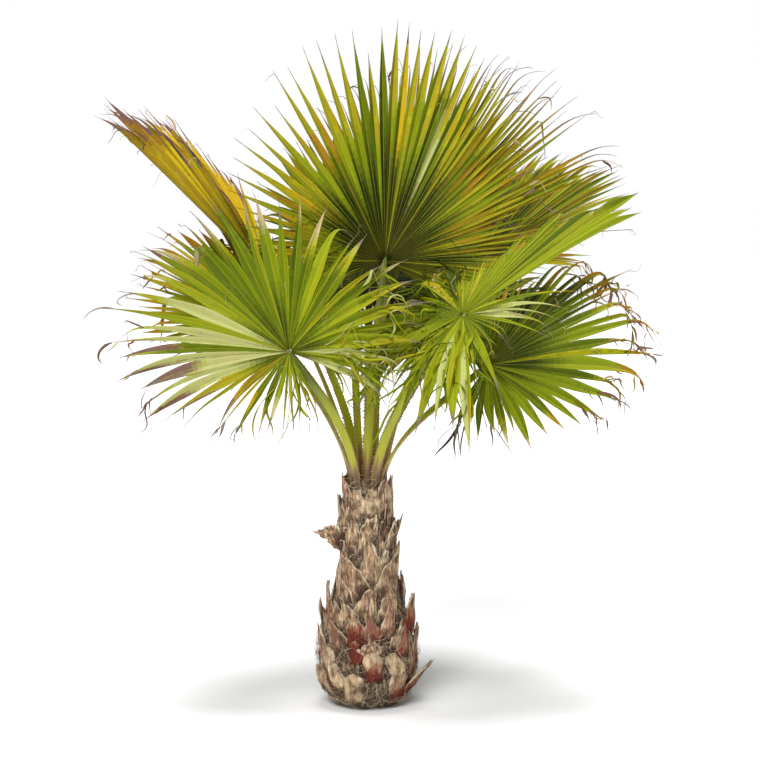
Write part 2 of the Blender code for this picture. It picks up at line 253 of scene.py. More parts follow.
side = np.linspace(-FLOOR_HALF, FLOOR_HALF, 3)
floor_points = np.stack([*np.meshgrid(side, side), np.full((3, 3), -FLOOR_BELOW)], axis=-1)
floor = new_piece("floor", floor_points[None], [plain("floor_white", (0.88, 0.88, 0.88), 0.9)])
floor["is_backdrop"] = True
print("floor", 2 * FLOOR_HALF, "m wide")

# %% [markdown]
# ## Leaf tints
#
# A living fan is many greens at once: yellow-green where it ages, gold and purple-brown where it
# dries, grey at the threads of its tips. The darkest green, deep, is painted shade in the folds and
# near the hub. Each tint is one plain colour with fine raised veins, and the faces of a segment are
# dealt a tint each. A picture painted over the fan could do it too, but on strips this narrow it
# would blur. The chains name tints that pass into one another, and two steps are mixed between
# each two of them.

# %% Leaf tints
TINTS = {
    # deep: the darkest green, dealt where painted shade falls, near the hub and on the dark half of folds
    "deep": (0.013, 0.020, 0.001),
    "forest": (0.036, 0.052, 0.001),
    "green": (0.080, 0.112, 0.001),
    "leaf": (0.142, 0.182, 0.002),
    "bright": (0.215, 0.255, 0.003),
    "pale": (0.370, 0.390, 0.130),
    "lime": (0.265, 0.250, 0.008),
    "olive": (0.180, 0.140, 0.004),
    "moss": (0.085, 0.072, 0.002),
    "yellow": (0.600, 0.440, 0.006),
    "gold": (0.400, 0.240, 0.006),
    "rust": (0.280, 0.130, 0.014),
    "tan": (0.430, 0.330, 0.165),
    "plum": (0.170, 0.085, 0.060),
    "grey": (0.170, 0.135, 0.105),
    "dark": (0.055, 0.038, 0.030),
    "rib": (0.300, 0.320, 0.025),
}
CHAINS = [
    "deep forest green leaf bright pale", "green olive gold", "leaf lime yellow gold rust plum grey dark",
    "bright lime tan grey", "forest moss olive rust", "pale tan rust", "lime gold tan", "plum dark",
    "leaf grey", "yellow tan", "bright yellow", "deep moss", "green pale", "green lime", "pale plum",
    "bright plum"]
TINT_STEPS = 3
DRY_RATIO = 1.25
GREEN_ROUGHNESS = 0.5
DRY_ROUGHNESS = 0.75
LEAF_SHINE = 0.08
VEIN_STRETCH = (26, 14, 1)
VEIN_HEIGHT = 0.0007
PALETTE = dict(TINTS)
for chain in CHAINS:
    chain = chain.split()
    for one, two in zip(chain, chain[1:]):
        for step in range(1, TINT_STEPS):
            mix = np.array(TINTS[one]) * (1 - step / TINT_STEPS) + np.array(TINTS[two]) * step / TINT_STEPS
            PALETTE[f"{one}_{two}_{step}"] = tuple(round(float(v), 4) for v in mix)
PALETTE_COLOURS = np.array(list(PALETTE.values()))


def add_bump(made, height, distance):
    """Raise the surface by a node's height."""
    tree = made.node_tree
    bump = tree.nodes.new("ShaderNodeBump")
    bump.inputs["Distance"].default_value = distance
    bump.inputs["Strength"].default_value = 1
    tree.links.new(height, bump.inputs["Height"])
    tree.links.new(bump.outputs["Normal"], tree.nodes["Principled BSDF"].inputs["Normal"])


def noise(made, space, stretch, detail=3.0, roughness=0.5):
    """Noise stretched along its axes. It is fixed to the piece's own map when the space is "UV",
    and in the plant's own space when it is "Object"."""
    tree = made.node_tree
    place = tree.nodes.new("ShaderNodeUVMap" if space == "UV" else "ShaderNodeTexCoord")
    mapping = tree.nodes.new("ShaderNodeMapping")
    mapping.inputs["Scale"].default_value = stretch
    grain = tree.nodes.new("ShaderNodeTexNoise")
    for socket, value in (("Scale", 1), ("Detail", detail), ("Roughness", roughness)):
        grain.inputs[socket].default_value = value
    tree.links.new(place.outputs[space], mapping.inputs["Vector"])
    tree.links.new(mapping.outputs["Vector"], grain.inputs["Vector"])
    return grain.outputs["Fac"]


def leaf_tint(name, colour):
    """One leaf colour, with long fine veins. Dry tints are less green than red, and rougher."""
    dry = colour[0] > DRY_RATIO * colour[1]
    made = plain("leaf_" + name, colour, DRY_ROUGHNESS if dry else GREEN_ROUGHNESS)
    made.node_tree.nodes["Principled BSDF"].inputs["Specular IOR Level"].default_value = LEAF_SHINE
    add_bump(made, noise(made, "UV", VEIN_STRETCH), VEIN_HEIGHT)
    return made


LEAF_TINTS = [leaf_tint(name, colour) for name, colour in PALETTE.items()]
print(len(LEAF_TINTS), "leaf tints")

# %% [markdown]
# ## Where the leaves stand
#
# A fan leaf hangs on one point, its hub, where the stalk ends. The table repeats the sizes of
# the solids: the hub, the way the middle rib points, the way the face looks, the reach, the
# angles that the blade spans, the share of the reach that each side keeps and how slim it is,
# how far the sides fold up, the droop, and the place of the stalk in the ring on the trunk. Only
# back_left, back and back_right span more than their solids do, so that no gap shows there. The
# second table holds what only the eye needs: how many segments there are, where the web ends,
# how the tips behave and what is green or dry.

# %% Leaves, as in the solids
LEAVES = {
    "front_left": dict(
        hub=(-0.218, -0.250, 1.055), rib=(-0.79, 0.22, 0.56), face=(-0.11, -0.97, 0.20), reach=0.560,
        span=(-165, 160), side_share=(0.50, 0.38), slim=(110, 72), fold=0, droop=(0.25, 0.15, 0.15),
        place=("outer", 228)),
    "front_right": dict(
        hub=(0.270, -0.250, 1.159), rib=(0.77, 0.21, 0.62), face=(-0.25, -0.71, 0.66), reach=0.610,
        span=(-184, 168), side_share=(0.52, 0.54), slim=(25, 25), fold=0, droop=(0.10, 1.10, 0.80),
        place=("outer", 300)),
    "top": dict(
        hub=(0.052, 0.020, 1.314), rib=(0.19, 0.09, 0.98), face=(0.20, -0.98, 0.05), reach=0.730,
        span=(-112, 125), side_share=(0.50, 0.50), slim=(80, 80), fold=4, droop=(0.03, 0.10, 0.10),
        place=("inner", 270)),
    "right": dict(
        hub=(0.350, -0.100, 1.012), rib=(0.90, 0.13, 0.42), face=(-0.10, -0.86, 0.50), reach=0.540,
        span=(-150, 145), side_share=(0.36, 0.36), slim=(70, 70), fold=0, droop=(0.15, 0.25, 0.25),
        place=("outer", 338)),
    "top_right": dict(
        hub=(0.095, 0.140, 1.313), rib=(0.71, 0.00, 0.71), face=(-0.19, -0.96, 0.19), reach=0.715,
        span=(-75, 75), side_share=(0.50, 0.50), slim=(90, 90), fold=0, droop=(0.05, 0.10, 0.10),
        place=("inner", 30)),
    "top_left": dict(
        hub=(-0.280, 0.100, 1.246), rib=(-0.71, 0.00, 0.71), face=(0.70, 0.00, 0.70), reach=0.750,
        span=(-90, 90), side_share=(0.45, 0.45), slim=(60, 60), fold=20, droop=(0.03, 0.05, 0.05),
        place=("outer", 158)),
    "upper_right": dict(
        hub=(0.338, 0.220, 1.314), rib=(0.86, 0.06, 0.50), face=(-0.31, -0.72, 0.62), reach=0.530,
        span=(-45, 115), side_share=(0.50, 0.50), slim=(70, 70), fold=5, droop=(0.10, 0.20, 0.20),
        place=("outer", 14)),
    "left": dict(
        hub=(-0.293, 0.000, 1.111), rib=(-0.75, 0.31, 0.59), face=(0.31, -0.62, 0.72), reach=0.460,
        span=(-110, 110), side_share=(0.50, 0.50), slim=(80, 80), fold=0, droop=(0.10, 0.20, 0.20),
        place=("outer", 193)),
    "back_left": dict(
        hub=(-0.225, 0.280, 1.212), rib=(-0.50, 0.64, 0.58), face=(0.30, -0.50, 0.81), reach=0.440,
        span=(-172, 172), side_share=(0.55, 0.55), slim=(80, 80), fold=0, droop=(0.25, 0.35, 0.35),
        place=("outer", 122)),
    "back": dict(
        hub=(0.005, 0.330, 1.252), rib=(0.05, 0.80, 0.60), face=(0.00, -0.55, 0.83), reach=0.560,
        span=(-172, 172), side_share=(0.55, 0.55), slim=(80, 80), fold=0, droop=(0.30, 0.35, 0.35),
        place=("outer", 86)),
    "back_right": dict(
        hub=(0.255, 0.270, 1.102), rib=(0.50, 0.70, 0.50), face=(-0.25, -0.45, 0.85), reach=0.500,
        span=(-172, 172), side_share=(0.55, 0.55), slim=(80, 80), fold=0, droop=(0.30, 0.35, 0.35),
        place=("outer", 50)),
    "top_back": dict(
        hub=(-0.055, 0.190, 1.352), rib=(-0.10, 0.35, 0.93), face=(0.25, -0.90, 0.40), reach=0.510,
        span=(-120, 120), side_share=(0.50, 0.50), slim=(80, 80), fold=4, droop=(0.05, 0.15, 0.15),
        place=("inner", 150)),
}

# %% Looks of each leaf
# per_circle: segments in a full circle. crowd: how much closer they stand, by angle.
# uneven: how much their widths vary. web, spread: the share of a segment that is joined to its
# neighbours, and how much that varies. shoulder, power: the share of its length where it is
# widest, and how late it narrows past that. wide, longer: factors of its width and its reach.
# limp, sway, twist: how far the free part bends down, sideways and about itself. hook: how
# sharply a tip bends. hooked, broken: the shares of tips that hook and of segments bent over.
# heart, aged, dried: a tint, the share of segments that have it, and where it ends or begins. The
# heart is painted shade: a darker tint near the hub.
# body: tints with weights. marks: tints by angle, with their shares. bands: patches by angle,
# with a tint, a share, where they begin and how long they are. tip: a tint and where it begins.
# fold_shade: how much darker one half of each pleat is than the other, as painted shade on the one
# half and painted light on the other. threads: the share of splits that shed one. shreds: strips
# torn off, by angle, with their number, where they start, how long they are and their tints. zones:
# other values by angle.
PLAIN_LOOK = dict(
    per_circle=60, crowd=((-180, 1), (180, 1)), uneven=0.22, web=0.42, spread=0.08, shoulder=0.60,
    power=1.5, wide=1.0, longer=1.0, limp=0.12, sway=0.08, twist=25, hook=0.8, hooked=0.3, broken=0.06,
    zones=(), heart=("forest", 0.8, (0.15, 0.45)), body={"forest": 2, "green": 4, "leaf": 3, "olive": 1},
    marks=(), bands=(), aged=("lime", 0.3, (0.2, 0.7)), dried=("olive", 0.3, (0.5, 0.9)),
    tip=("grey", 0.88), fold_shade=0.15, threads=0.5, shreds=())
LOOKS = {
    "front_left": dict(
        per_circle=54,
        crowd=((-165, 1.0), (-130, 0.9), (-110, 0.75), (-90, 0.9), (0, 1), (15, 1.2), (55, 1.2), (80, 0.8),
               (100, 0.8)),
        uneven=0.35, web=0.36, spread=0.10, shoulder=0.50, power=1.20, longer=1.06, limp=0.03, sway=0.07,
        twist=30, hook=1.2, hooked=0.20, broken=0.05,
        zones=((-165, -140, dict(web=0.30, sway=0.14, limp=0.10, longer=1.02)),
               (-140, -125, dict(web=0.34, sway=0.14, limp=0.05, longer=1.22)),
               (-125, -95, dict(web=0.34, sway=0.14, limp=0.05, longer=1.25)),
               (10, 28, dict(longer=1.12, shoulder=0.48, power=1.1, wide=0.9)),
               (28, 54, dict(longer=1.10, shoulder=0.62, power=1.6, limp=0.16, hooked=0.5)),
               (70, 160, dict(web=0.18, wide=0.75, sway=0.18, longer=0.98, hooked=0.5, broken=0.18))),
        heart=("forest", 0.7, (0.08, 0.30)), body={"green": 4, "leaf": 6, "bright": 2},
        marks=((60, 110, "lime", 0.6), (60, 110, "olive", 0.3), (-2, 58, "bright", 0.6),
               # The pale strips from 4 to 58 degrees are partly the leaf's own paler green and partly a
               # painted sheen: the whitish gloss of the sky on them.
               (4, 58, "pale", 0.8), (-100, -35, "bright", 0.4), (-100, -35, "green", 0.3),
               (-165, -105, "bright", 0.5), (-165, -105, "pale", 0.3)),
        bands=((50, 100, "gold", 0.6, (0.45, 0.7), 0.20), (26, 80, "plum", 0.75, (0.60, 0.76), 0.45)),
        aged=("lime", 0.3, (0.3, 0.8)), dried=("tan", 0.3, (0.5, 0.9)), tip=("grey", 0.84), fold_shade=0.28,
        shreds=((-165, -95, 60, (0.2, 0.85), (0.08, 0.24), "bright lime leaf pale"),
                (100, 160, 12, (0.2, 0.6), (0.06, 0.20), "lime bright olive"),
                (20, 90, 12, (0.8, 0.97), (0.03, 0.09), "plum grey tan"),
                (5, 60, 8, (0.9, 0.98), (0.07, 0.14), "grey plum"))),
    "front_right": dict(
        per_circle=56,
        crowd=((-184, 1.0), (-166, 1.0), (-162, 0.5), (-145, 0.5), (-140, 0.8), (-122, 0.7), (-118, 0.6),
               (-66, 0.6), (-60, 0.9), (-15, 0.9), (-11, 2.2), (34, 2.2), (38, 1.0), (60, 0.7), (130, 0.7),
               (135, 0.8), (168, 0.8)),
        uneven=0.35, web=0.30, spread=0.12, shoulder=0.46, power=1.15, longer=1.04, sway=0.12, twist=40,
        hook=1.4, hooked=0.35, broken=0.10,
        zones=((-9, -2, dict(wide=1.08, web=0.84, spread=0.05, shoulder=0.86, longer=1.08, limp=0,
                             sway=0.02, twist=8, hook=0.5, broken=0)),
               (-2, 4, dict(wide=1.08, web=0.85, spread=0.05, shoulder=0.86, longer=0.96, limp=0, sway=0.02,
                            twist=8, hook=0.5, broken=0)),
               (4, 11, dict(wide=1.08, web=0.82, shoulder=0.82, longer=0.82, limp=0, sway=0.03, broken=0)),
               (11, 19, dict(wide=1.05, web=0.76, shoulder=0.76, longer=0.69, limp=0, sway=0.05, broken=0)),
               (19, 34, dict(web=0.52, shoulder=0.65, longer=0.58, limp=0, sway=0.10, broken=0)),
               (34, 60, dict(web=0.38, sway=0.16, shoulder=0.56, longer=0.60)),
               (-28, -9, dict(web=0.24, wide=0.7, longer=0.50, limp=0.2)),
               (-62, -28, dict(web=0.36, wide=0.9, limp=0.20, longer=0.92, sway=0.08, hooked=0.1,
                               broken=0.03)),
               (-122, -100, dict(web=0.20, wide=0.8, longer=0.85, sway=0.16)),
               (-100, -62, dict(web=0.20, wide=0.7, longer=0.55, sway=0.25)),
               (-141, -122, dict(web=0.24, shoulder=0.66, power=1.8, longer=1.05, sway=0.03, hooked=0.1,
                                 broken=0)),
               (-165, -141, dict(web=0.36, shoulder=0.60, power=1.5, longer=0.95, sway=0.06, hooked=0.2,
                                 broken=0)),
               (-184, -165, dict(web=0.50, shoulder=0.70, power=1.6, longer=0.98, sway=0.05, limp=-0.5,
                                 hooked=0, broken=0)),
               (60, 130, dict(web=0.25, sway=0.35, shoulder=0.58, longer=0.78, hook=3.0, hooked=0.7)),
               (130, 145, dict(web=0.45, shoulder=0.64, power=1.5, longer=1.10, sway=0.10, limp=-0.2,
                               broken=0)),
               (145, 168, dict(web=0.50, shoulder=0.72, power=1.8, longer=1.08, sway=0.06, limp=-0.15,
                               hooked=0.1, broken=0))),
        heart=("green", 0.7, (0.1, 0.4)), body={"green": 5, "leaf": 6, "bright": 1},
        marks=((-12, 32, "leaf", 0.6), (-12, 32, "bright", 0.3), (-62, -18, "bright", 0.5),
               (-62, -30, "pale", 0.3), (120, 168, "bright", 0.3), (-184, -122, "bright", 0.35),
               # The forest mark from 60 to 130 degrees is painted shade: these strips hang in shade.
               (26, 40, "lime", 0.4), (50, 120, "lime", 0.4), (60, 130, "forest", 0.3),
               (-165, -110, "bright", 0.6)),
        bands=((4, 14, "rust", 0.6, (0.80, 0.86), 0.10),
               (-12, 30, "lime", 0.3, (0.3, 0.6), 0.25),
               (-165, -100, "pale", 0.5, (0.1, 0.4), 0.6)),
        aged=("lime", 0.25, (0.3, 0.8)), dried=("gold", 0.08, (0.6, 0.95)), fold_shade=0.26, threads=0.6,
        shreds=((50, 168, 90, (0.15, 0.95), (0.05, 0.16), "leaf bright green green forest lime moss"),
                (-184, -100, 60, (0.15, 0.8), (0.06, 0.20), "lime leaf green bright"),
                (60, 130, 12, (0.2, 0.8), (0.04, 0.12), "gold tan lime"),
                (158, 168, 9, (0.25, 0.8), (0.10, 0.20), "leaf green bright"),
                (-184, -172, 9, (0.3, 0.9), (0.10, 0.20), "leaf green lime"))),
    "top": dict(
        per_circle=106, crowd=((-112, 1.3), (-24, 1.3), (-14, 1), (10, 1), (30, 0.72), (125, 0.66)),
        uneven=0.12, web=0.62, spread=0.05, shoulder=0.64, limp=0.01, sway=0.018, twist=8, hook=0.3,
        hooked=0.08, broken=0.01,
        zones=((18, 125, dict(web=0.50, shoulder=0.54, power=1.20, longer=1.03)),
               (-32, -18, dict(web=0.56, shoulder=0.52, power=1.05, hook=1.3, hooked=0.5, sway=0.03)),
               (-75, -32, dict(web=0.58, shoulder=0.52, power=1.05, hook=1.3, hooked=0.5, sway=0.04,
                               longer=0.94)),
               (-112, -75, dict(web=0.5))),
        heart=("deep", 1.0, (0.29, 0.50)), body={"green": 7, "leaf": 5},
        marks=((-13, -9, "pale", 1), (25, 115, "bright", 0.8), (30, 115, "lime", 0.35),
               (-112, -18, "olive", 0.4), (-80, -18, "lime", 0.35)),
        bands=((3, 8, "gold", 1, (0.42, 0.46), 0.46),
               (-13, -9, "pale", 1, (0.40, 0.44), 0.40),
               (-80, -20, "rust", 0.3, (0.45, 0.75), 0.16),
               (30, 100, "gold", 0.24, (0.45, 0.66), 0.16),
               (34, 85, "rust", 0.18, (0.52, 0.70), 0.14),
               (-30, 20, "lime", 0.4, (0.45, 0.60), 0.40)),
        aged=("lime", 0.85, (0.0, 0.60)), dried=("olive", 0.10, (0.5, 0.9)), tip=("dark", 0.90),
        fold_shade=0.30, threads=0.15,
        shreds=((-112, -50, 24, (0.1, 0.5), (0.06, 0.18), "moss olive forest"),
                (60, 125, 20, (0.1, 0.5), (0.06, 0.18), "moss olive lime"),
                (-75, -15, 12, (0.88, 0.97), (0.04, 0.10), "grey tan"))),
    "right": dict(
        per_circle=72, crowd=((-150, 0.50), (-90, 0.52), (-12, 0.70), (0, 1.2), (145, 1.2)), uneven=0.30,
        web=0.56, spread=0.10, shoulder=0.56, power=1.4, longer=0.98, limp=0.05, sway=0.10, twist=35,
        hook=1.6, hooked=0.5, broken=0.12,
        zones=((-12, 55, dict(web=0.40, shoulder=0.54, wide=0.90, sway=0.05, power=1.6, longer=1.07,
                              hook=2.6, hooked=0.6, broken=0.08)),
               (55, 105, dict(web=0.58, shoulder=0.68, sway=0.05, power=1.6, longer=1.15, hooked=0.3,
                              broken=0.04)),
               (105, 145, dict(shoulder=0.70, sway=0.05, power=1.7, longer=1.50, hooked=0.2, broken=0)),
               (-45, -12, dict(web=0.60, spread=0.06, hook=2.8, hooked=0.8, sway=0.14, longer=0.99)),
               (-88, -45, dict(web=0.52, longer=0.96, sway=0.06)),
               (-150, -88, dict(web=0.48, shoulder=0.62, power=1.6, hook=1.5, longer=1.05, broken=0.04))),
        heart=("forest", 0.7, (0.15, 0.4)), body={"green": 4, "leaf": 6},
        marks=((-12, 145, "forest", 0.5), (-12, 145, "green", 0.4), (-60, -15, "bright", 0.4),
               (-90, -60, "leaf", 0.5)),
        bands=((-50, 30, "rust", 0.4, (0.70, 0.82), 0.12),), aged=("lime", 0.3, (0.3, 0.8)),
        dried=("rust", 0.45, (0.5, 0.9)), tip=("tan", 0.86), fold_shade=0.28, threads=0.6,
        shreds=((-55, 30, 70, (0.70, 0.97), (0.04, 0.12), "rust tan plum grey olive"),
                (60, 145, 40, (0.2, 0.7), (0.06, 0.18), "lime bright green leaf"),
                (-150, -90, 12, (0.5, 0.9), (0.05, 0.14), "grey leaf lime"),
                (-150, -110, 7, (0.92, 0.98), (0.10, 0.16), "grey dark"),
                (-30, 30, 8, (0.92, 0.98), (0.05, 0.11), "grey plum"))),
    "top_right": dict(
        per_circle=215, uneven=0.30, web=0.60, spread=0.12, power=1.2, longer=1.08, limp=0.02, sway=0.05,
        twist=30, hook=1.3, hooked=0.5, broken=0.03, heart=("moss", 0.9, (0.2, 0.5)),
        body={"olive": 5, "moss": 2, "lime": 4, "leaf": 2}, aged=("olive", 0.5, (0.0, 0.4)),
        dried=("rust", 0.35, (0.1, 0.6)), tip=("grey", 0.66), fold_shade=0.34, threads=0.3,
        shreds=((-30, 70, 10, (0.9, 0.98), (0.05, 0.11), "grey plum"),)),
    "top_left": dict(
        per_circle=130, uneven=0.25, web=0.72, spread=0.12, shoulder=0.76, power=1.7, longer=1.02,
        limp=0.02, sway=0.06, hook=0.7, hooked=0.4, broken=0.02,
        zones=((40, 90, dict(web=0.55, shoulder=0.6, longer=0.80)),
               (-90, -52, dict(web=0.5, shoulder=0.6, longer=0.72)),
               (22, 40, dict(longer=1.06, shoulder=0.70, power=1.2)),
               (-52, -40, dict(web=0.66, longer=1.05, shoulder=0.62, power=1.2)),
               (-40, -32, dict(web=0.62, longer=1.24, shoulder=0.58, power=1.1)),
               (-32, -22, dict(web=0.64, longer=1.14, shoulder=0.62, power=1.1))),
        heart=("leaf", 0.8, (0.15, 0.42)), body={"gold": 3, "yellow": 8},
        marks=((40, 90, "olive", 0.9), (-90, -52, "leaf", 0.8), (-52, -12, "gold", 0.7),
               (-52, -30, "olive", 0.3)),
        bands=((26, 90, "plum", 0.7, (0.70, 0.80), 0.5), (-90, -26, "plum", 0.7, (0.70, 0.80), 0.5)),
        aged=("gold", 0.4, (0.0, 0.3)), dried=("rust", 0.7, (0.25, 0.60)), tip=("plum", 0.66),
        fold_shade=0.55, threads=0.6,
        shreds=((-80, 80, 20, (0.80, 0.97), (0.04, 0.10), "plum grey tan grey"),)),
    "upper_right": dict(
        per_circle=150, uneven=0.30, web=0.74, shoulder=0.76, longer=1.03, limp=0.02, sway=0.05,
        hooked=0.15, broken=0.04, zones=((-45, -14, dict(longer=0.68)), (-14, -8, dict(longer=0.90))),
        heart=("forest", 0.8, (0.2, 0.5)), body={"olive": 4, "green": 3, "lime": 4},
        bands=((-45, 60, "rust", 0.35, (0.6, 0.8), 0.14),), aged=("lime", 0.5, (0.0, 0.5)),
        dried=("rust", 0.25, (0.3, 0.8)), tip=("grey", 0.86), fold_shade=0.34, threads=0.3),
    "left": dict(
        per_circle=80, uneven=0.35, web=0.60, spread=0.12, shoulder=0.64, longer=1.06, limp=-0.05,
        sway=0.06, twist=30, hook=0.6, hooked=0.1, broken=0.04, zones=((-60, -5, dict(longer=1.18)),),
        heart=("green", 0.7, (0.2, 0.6)), body={"leaf": 6, "lime": 2, "bright": 2},
        bands=((-60, 40, "gold", 0.35, (0.62, 0.74), 0.16), (-60, 40, "rust", 0.6, (0.72, 0.84), 0.16)),
        aged=("lime", 0.4, (0.2, 0.6)), dried=("rust", 0.5, (0.5, 0.8)), tip=("plum", 0.82), fold_shade=0.3,
        threads=0.4, shreds=((-60, 40, 24, (0.7, 0.95), (0.03, 0.09), "rust plum tan gold"),)),
    "back": dict(heart=("deep", 0.9, (0.2, 0.6)), body={"forest": 5, "green": 3, "moss": 1}),
    "top_back": dict(longer=0.80, tip=("dark", 0.88)),
}
FULL_LOOKS = {name: PLAIN_LOOK | LOOKS.get(name, {}) for name in LEAVES}
print(len(FULL_LOOKS), "leaves,", len(LOOKS), "with a look of their own")


def dial(look, key, angles):
    """One value of a look for each segment: its own where a zone gives one."""
    values = np.full(angles.shape, look[key], float)
    for low, high, changes in look["zones"]:
        inside = (angles > math.radians(low)) & (angles < math.radians(high))
        values[inside] = changes.get(key, look[key])
    return values


# %% [markdown]
# ## The rule of a fan
#
# A segment at some angle from the middle rib leaves the hub in the plane of the fan. It reaches
# as far as a bell curve of the angle says, and it sags by the cube of its share of that reach,
# as a strip held at one end does. This is the rule of the solids, written for whole arrays.

# %% Fan rule
DROOP_ANGLE = math.radians(150)
NEARBY = 0.01


def fan_frame(leaf):
    """Unit vectors at the hub: along the middle rib, out of the face, and to the side."""
    rib = unit(np.array(leaf["rib"], float))
    face = np.array(leaf["face"], float)
    face = unit(face - rib * (face @ rib))
    return rib, face, np.cross(face, rib)


def way(leaf, angle):
    """The way a segment leaves the hub: the cosine along the rib plus the sine along the side,
    with both sides of the fan folded up."""
    rib, face, side = fan_frame(leaf)
    fold = math.radians(leaf["fold"])
    sine = np.sin(angle)[..., None]
    return rib * np.cos(angle)[..., None] + side * math.cos(fold) * sine + face * math.sin(fold) * abs(sine)


def crosswise(leaf, angle):
    """The way across a segment: from a heading a little before its own to one a little after."""
    return unit(way(leaf, angle + NEARBY) - way(leaf, angle - NEARBY))


def full_reach(leaf, angle):
    """The side share of the reach, and the rest as a bell curve of the angle. Each half of the
    fan has its own."""
    share = np.where(angle < 0, *leaf["side_share"])
    slim = np.radians(np.where(angle < 0, *leaf["slim"]))
    return leaf["reach"] * (share + (1 - share) * np.exp(-(angle / slim) ** 2))


def droop_of(leaf, angle):
    """The droop at the middle plus what each half adds in proportion to the angle."""
    middle, *sides = leaf["droop"]
    return middle + np.where(angle < 0, *sides) * abs(angle) / DROOP_ANGLE


def spot(leaf, angle, distance):
    """The point that far out along a segment, sunk by a third of droop times reach times the
    cube of its share."""
    full = full_reach(leaf, angle)
    sag = droop_of(leaf, angle) * full * (distance / full) ** 3 / 3
    return np.array(leaf["hub"]) + way(leaf, angle) * distance[..., None] - UP * sag[..., None]


# %% [markdown]
# ## Room for each segment
#
# Two leaves can't be in one place. A segment stops short where it would come near the trunk,
# a stalk or a blade that was laid out before its own. The solids in the frame are searched
# with a tree of their triangles, which answers in microseconds how near a point is.

# %% Room
CLEARANCE = 0.010
ROOM_STEP = 0.012
HUB_ZONE = 0.060


def tree_of(names):
    """One search tree of several solids."""
    points, faces = [], []
    for name in names:
        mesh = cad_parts[name].data
        start = len(points)
        points += [vert.co for vert in mesh.vertices]
        faces += [[start + corner for corner in face.vertices] for face in mesh.polygons]
    return BVHTree.FromPolygons(points, faces)


def room(leaf, angles, half, tree):
    """How far each segment runs before its middle or an edge comes near another solid."""
    found = []
    for angle, wide, full in zip(angles, half, full_reach(leaf, angles)):
        distances = np.arange(HUB_ZONE, full, ROOM_STEP)
        lines = [spot(leaf, np.array(angle + turn), distances) for turn in (-wide, 0, wide)]
        near = (i for i, spots in enumerate(zip(*lines))
                if any(tree.find_nearest(at, CLEARANCE)[0] is not None for at in spots))
        stop = next(near, None)
        found.append(full if stop is None else max(distances[stop] - ROOM_STEP, HUB_ZONE))
    return np.array(found)


# %% [markdown]
# ## Where the segments lie
#
# A fan has more segments where it is crowded, and no two are equally wide. Equal steps of the
# crowding, added up over the angle, give the edges, and a random share of their width moves
# them. They could be listed one by one, but there are about seven hundred in the crown.

# %% Edges, ends and splits
CROWD_SAMPLES = 500
SHORTEST = 0.14


def crowded(leaf, look):
    """Edge angles of the segments: equal shares of the crowding added up over the angle."""
    angles = np.radians(np.linspace(*leaf["span"], CROWD_SAMPLES))
    crowd = np.interp(np.degrees(angles), *zip(*look["crowd"]))
    total = np.concatenate([[0], np.cumsum(crowd[1:] * np.diff(angles))])
    count = round(total[-1] / TURN * look["per_circle"])
    return np.interp(np.linspace(0, total[-1], count + 1), total, angles)


def layout(leaf, look, random, tree):
    """Edge angles, middles, ends and splits of the segments. Edges are moved by a share of the
    narrower neighbour, a segment with room may be longer than the rule says, and each split is a
    share of the shorter segment beside it."""
    edges = crowded(leaf, look)
    count = len(edges) - 1
    narrower = np.minimum(np.diff(edges)[1:], np.diff(edges)[:-1])
    edges[1:-1] += random.uniform(-1, 1, count - 1) * look["uneven"] * narrower
    middles = (edges[:-1] + edges[1:]) / 2
    clear = room(leaf, middles, np.diff(edges) / 2, tree)
    whole = full_reach(leaf, middles)
    ends = np.minimum(clear, whole) * np.where(clear < whole - TINY, 1, dial(look, "longer", middles))
    ends = ends * (1 - SHORTEST * random.random(count) ** 2)
    varied = random.uniform(-1, 1, count + 1) * dial(look, "spread", edges)
    shorter = np.minimum(np.append(ends, ends[-1]), np.insert(ends, 0, ends[0]))
    return edges, middles, ends, (dial(look, "web", edges) + varied) * shorter


# %% [markdown]
# ## How the free parts bend
#
# Past its split each segment hangs by itself. A simulation could bend it, but would be slow for
# seven hundred strips and hard to steer. Here its heading turns down, sideways and about itself
# by amounts drawn for it, and the headings are added up. Some tips hook, and some segments are
# broken and hang from there. The numbers are factors of limp and of hook, how sharply a broken
# segment bends, where and over what length, and where a hook begins downwards and sideways.

# %% Bend of the free parts
LIMP_FACTORS = (0.3, 1.7)
HOOK_FACTORS = (0.3, 1.0)
BREAK_BENDS = (1.5, 7.0)
BREAK_PLACES = (0.25, 0.80)
BREAK_LENGTH = 0.12
HOOK_BEGINS = 0.55
HOOK_SIDEWAYS = 0.6


